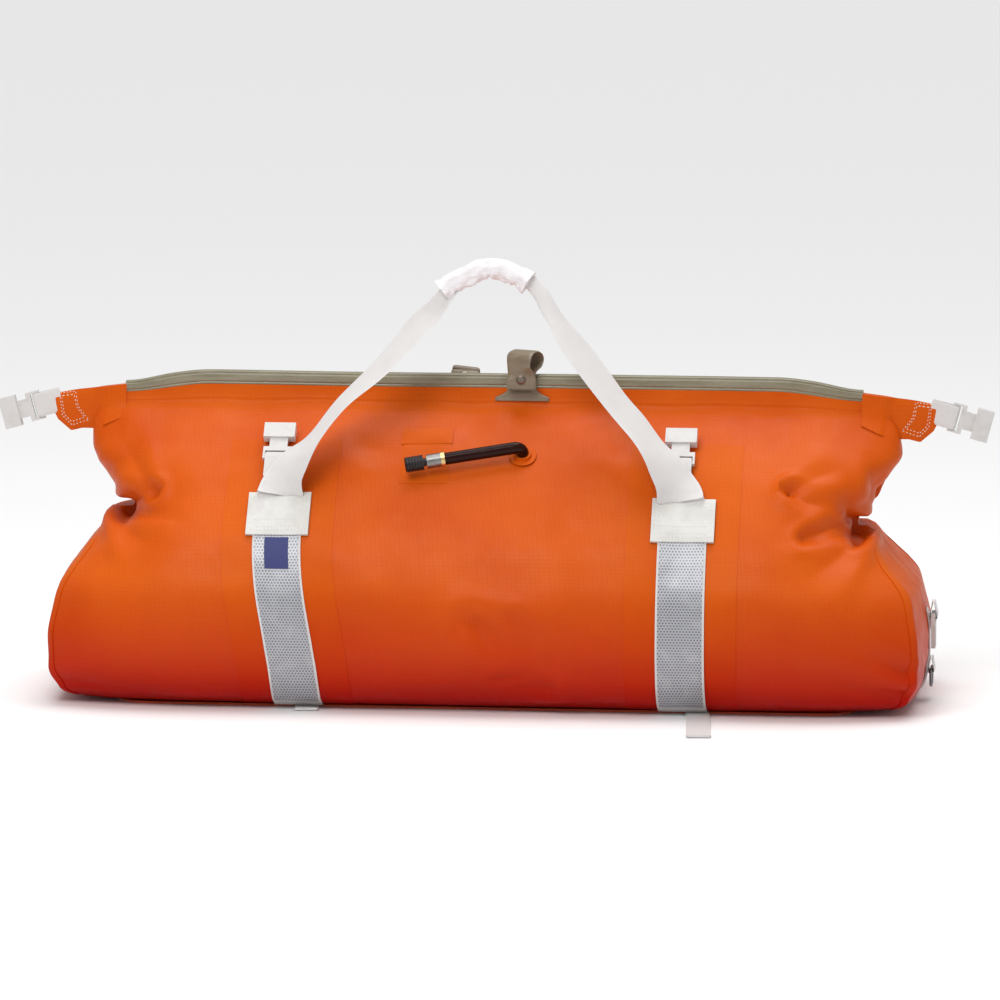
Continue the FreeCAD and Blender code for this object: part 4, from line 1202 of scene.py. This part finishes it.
def webbing_cloth(name, colour, shade):
    """Flat woven nylon: ribs across, twill along, fuzzy and slightly soiled."""
    shader = Shader(name, colour, 0.78)
    shader.set("Sheen Weight", 0.4).set("Sheen Roughness", 0.5).set("Specular IOR Level", 0.3)
    ribs = shader.wave(shader.place(cloth=True), WAVE / 1.1, "Y")
    twill = shader.wave(shader.place(cloth=True, spin=math.radians(32)), WAVE / 1.5, distortion=1.0)
    weave = shader.math("MULTIPLY", ribs, twill)
    soil = shader.noise(shader.place(), 40, 5)
    base = shader.mix(shader.ramp(weave, 0.0, 0.6, 0.4, 0), colour, shade)
    shader.connect(shader.mix(shader.ramp(soil, 0.5, 0.85, 0, 0.25), base, shade), "Base Color")
    return shader.bumps((weave, 0.5, 0.35))


def sleeve_fabric():
    """Smooth white laminated cloth, creased."""
    shader = Shader("sleeve_cloth", (0.84, 0.82, 0.82), 0.55)
    shader.set("Sheen Weight", 0.25)
    creased = shader.noise(shader.place(scale=(1, 1, 3)), 120, 5)
    base = shader.mix(shader.ramp(creased, 0.4, 0.8), (0.82, 0.79, 0.80), (0.68, 0.65, 0.67))
    shader.connect(base, "Base Color")
    return shader.bumps((creased, 0.4, 0.8), (shader.noise(shader.place(), 900, 2), 0.15, 0.15))


def reflective_cloth():
    """Silver glass-bead tape with a honeycomb of small grey dots."""
    shader = Shader("reflective_tape", (0.42, 0.42, 0.44), 0.38, 0.15)
    shader.set("Coat Weight", 0.2)
    halves = [shader.lattice(shader.place(cloth=True), 3.3, shift) for shift in (0.0, 0.5)]
    dots = shader.ramp(shader.math("MINIMUM", *halves), 0.9 * MM, 1.35 * MM, 1, 0)
    soil = shader.noise(shader.place(), 70, 4)
    base = shader.mix(dots, (0.42, 0.43, 0.46), (0.16, 0.16, 0.18))
    shader.connect(shader.mix(shader.ramp(soil, 0.5, 0.8, 0, 0.3), base, (0.55, 0.55, 0.57)), "Base Color")
    return shader.bumps((dots, -0.4, 0.3))


def patch_cloth():
    """Cream laminated patch fabric with a close weave."""
    shader = Shader("patch_cloth", (0.80, 0.78, 0.72), 0.6)
    cloth = shader.place(cloth=True)
    weave = shader.math("ADD", shader.wave(cloth, 230, "X"), shader.wave(cloth, 230, "Y"))
    soil = shader.noise(shader.place(), 50, 5)
    base = shader.mix(shader.ramp(soil, 0.4, 0.8), (0.66, 0.65, 0.62), (0.56, 0.54, 0.50))
    shader.connect(base, "Base Color")
    return shader.bumps((weave, 0.25, 0.2), (soil, 0.15, 0.8))


def thread_fibre():
    """Off-white twisted sewing thread."""
    shader = Shader("sewing_thread", (0.82, 0.80, 0.76), 0.7)
    shader.set("Sheen Weight", 0.4)
    twist = shader.wave(shader.place(), 900, "DIAGONAL")
    shader.connect(shader.mix(twist, (0.86, 0.84, 0.80), (0.70, 0.67, 0.62)), "Base Color")
    return shader.bumps((twist, 0.3, 0.1))


def label_cloth():
    """Plain dark blue damask with a fine twill."""
    shader = Shader("label_cloth", (0.03, 0.05, 0.16), 0.6)
    twill = shader.wave(shader.place(cloth=True, spin=math.radians(45)), 320)
    shader.connect(shader.mix(twill, (0.014, 0.018, 0.10), (0.035, 0.045, 0.19)), "Base Color")
    return shader.bumps((twill, 0.4, 0.2))


def moulded_rubber(name, colour, pale, roughness=0.45, shine=0.5):
    """Satin moulded polymer with faint flow streaks and fingermarks."""
    shader = Shader(name, colour, roughness)
    shader.set("Specular IOR Level", shine)
    streak = shader.noise(shader.place(scale=(0.15, 1, 1)), 130, 4)
    grain = shader.noise(shader.place(), 1400, 2)
    shader.connect(shader.mix(shader.ramp(streak, 0.35, 0.75), colour, pale), "Base Color")
    shader.connect(shader.ramp(streak, 0.3, 0.8, roughness - 0.08, roughness + 0.14), "Roughness")
    return shader.bumps((grain, 0.12, 0.1), (streak, 0.08, 0.3))


def buckle_plastic():
    """White acetal with a spark-eroded texture and a trace of grime."""
    shader = Shader("buckle_plastic", (0.82, 0.81, 0.79), 0.42)
    shader.set("Subsurface Weight", 0.04).set("Subsurface Radius", (0.004, 0.003, 0.003))
    grain = shader.noise(shader.place(), 2200, 2)
    soil = shader.noise(shader.place(), 90, 5)
    base = shader.mix(shader.ramp(soil, 0.5, 0.85), (0.62, 0.605, 0.59), (0.52, 0.50, 0.47))
    shader.connect(base, "Base Color")
    shader.connect(shader.ramp(grain, 0.3, 0.7, 0.36, 0.5), "Roughness")
    return shader.bumps((grain, 0.15, 0.08))


def turned_metal(name, colour, roughness):
    """Machined metal with fine turning lines and small stains."""
    shader = Shader(name, colour, roughness, 1.0)
    lines = shader.noise(shader.place(scale=(1, 40, 40)), 60, 3)
    stain = shader.noise(shader.place(), 160, 4)
    dark = tuple(c * 0.6 for c in colour)
    shader.connect(shader.mix(shader.ramp(stain, 0.5, 0.8), colour, dark), "Base Color")
    shader.connect(shader.ramp(lines, 0.3, 0.7, roughness - 0.08, roughness + 0.12), "Roughness")
    return shader.bumps((lines, 0.1, 0.05))


def finish_valve(welt):
    """Each part of the valve in its own material."""
    gloss = moulded_rubber("tube_gloss", (0.016, 0.003, 0.002), (0.022, 0.005, 0.003), 0.12, 0.13)
    finish_node("valve_tube", gloss, 0.2)
    matt = moulded_rubber("cap_rubber", (0.014, 0.010, 0.011), (0.035, 0.026, 0.028), 0.42, 0.3)
    finish_node("valve_cap", matt, 0.3)
    finish_node("valve_ring", turned_metal("ring_brass", (0.72, 0.50, 0.22), 0.28), 0.4)
    finish_node("valve_barrel", turned_metal("barrel_metal", (0.26, 0.25, 0.24), 0.34), 0.4)
    finish_node("valve_flange", welt, 0.5)


def finish_hardware():
    """The buckles, the rivets of the finger loops, the ring at the end and the base ply."""
    plastic = buckle_plastic()
    for place in ("buckle_front", "buckle_rear", "tab_buckle"):
        for _, name in HALVES:
            finish_node(f"{place}_{name}", plastic, 0.9)
    finish_node("end_buckle_right", plastic, 0.9)
    for _, side_name in SIDES:
        node = f"pull_rivet_{side_name}"
        finish_node(node, turned_metal(f"{node}_metal", (0.24, 0.20, 0.16), 0.45), 0.3)
    finish_node("end_ring_right", turned_metal("ring_metal", (0.2, 0.2, 0.21), 0.35), 0.1)
    base_rubber = moulded_rubber("base_rubber", (0.62, 0.07, 0.008), (0.72, 0.10, 0.012), 0.5)
    finish_node("base_ply", base_rubber, 0.8)


# ---- scene ----


def make_stage():
    """A wide pale floor under a soft sky, with an overhead sun and two large soft lamps."""
    pale = Shader("studio_floor", (0.88, 0.88, 0.88), 0.9).material
    corners = [(x, y, 0) for y in (-30000, 30000) for x in (-30000, 30000)]
    new_object("studio_floor", corners, grid_faces(2, 2), pale)
    world = bpy.data.worlds.new("studio")
    bpy.context.scene.world = world
    world.use_nodes = True
    sky = world.node_tree.nodes["Background"]
    sky.inputs["Color"].default_value = (1, 1, 1, 1)
    sky.inputs["Strength"].default_value = 0.42
    lamps = (
        ("overhead", "SUN", (0.4, 0.4, 4.0), "angle", math.radians(50), 1.6),
        ("key", "AREA", (-0.5, -2.0, 2.2), "size", 1.3, 36),
        ("fill", "AREA", (0.3, 0.6, 2.6), "size", 1.5, 10),
    )
    for name, kind, place, softness, size, power in lamps:
        light = bpy.data.lights.new(name, kind)
        setattr(light, softness, size)
        light.energy = power
        lamp = bpy.data.objects.new(name, light)
        lamp.location = place
        aim = Vector((0, 0, 0.15)) - Vector(place)
        lamp.rotation_euler = aim.to_track_quat("-Z", "Y").to_euler()
        bpy.context.scene.collection.objects.link(lamp)


VIEW_WIDE = 1.06


def make_camera():
    """A long lens, six degrees round to the right and eight degrees up."""
    azimuth, elevation, distance = math.radians(6.2), math.radians(8), 7.0
    target = Vector((0.0076, 0, 0.206))
    level = math.cos(elevation)
    away = Vector((math.sin(azimuth) * level, -math.cos(azimuth) * level, math.sin(elevation)))
    lens = bpy.data.cameras.new("camera")
    lens.sensor_width = 36
    lens.lens = lens.sensor_width * distance / VIEW_WIDE
    camera = bpy.data.objects.new("camera", lens)
    camera.location = target + away * distance
    camera.rotation_euler = (-away).to_track_quat("-Z", "Y").to_euler()
    bpy.context.scene.collection.objects.link(camera)
    bpy.context.scene.camera = camera
    bpy.context.scene.view_settings.view_transform = "Standard"


def main():
    orange = coated_fabric("orange_fabric", (0.64, 0.100, 0.004), (0.56, 0.072, 0.002))
    welt = coated_fabric("orange_weld", (0.64, 0.108, 0.006), (0.57, 0.080, 0.003), grid=False)
    webbing = webbing_cloth("white_webbing", (0.71, 0.69, 0.675), (0.50, 0.48, 0.48))
    sleeve_cloth = sleeve_fabric()
    cream, thread = patch_cloth(), thread_fibre()
    olive = moulded_rubber("zip_rubber", (0.195, 0.175, 0.110), (0.27, 0.25, 0.17), 0.27)
    pull_rubber = moulded_rubber("pull_rubber", (0.180, 0.140, 0.090), (0.24, 0.19, 0.13), 0.38)
    make_shell(orange)
    for half, half_name in HALVES[::-1]:
        for side, side_name in SIDES:
            make_end_seam(welt, side, side_name, half, half_name)
    make_belly_straps(webbing, welt, reflective_cloth(), cream, thread)
    make_label(label_cloth())
    for side, side_name in SIDES:
        for half, half_name in HALVES:
            make_neck_half(welt, side, side_name, half, half_name)
            make_zip_half(olive, side, side_name, half, half_name)
    make_front_handle(webbing, sleeve_cloth)
    make_rear_handle(webbing, sleeve_cloth)
    for half, half_name in HALVES:
        make_tab(welt, thread, half, half_name)
    make_web_loops(webbing)
    make_end_tape(webbing)
    make_tails(webbing)
    make_keeper(welt)
    make_pulls(pull_rubber)
    finish_hardware()
    finish_valve(welt)
    make_stage()
    make_camera()


main()
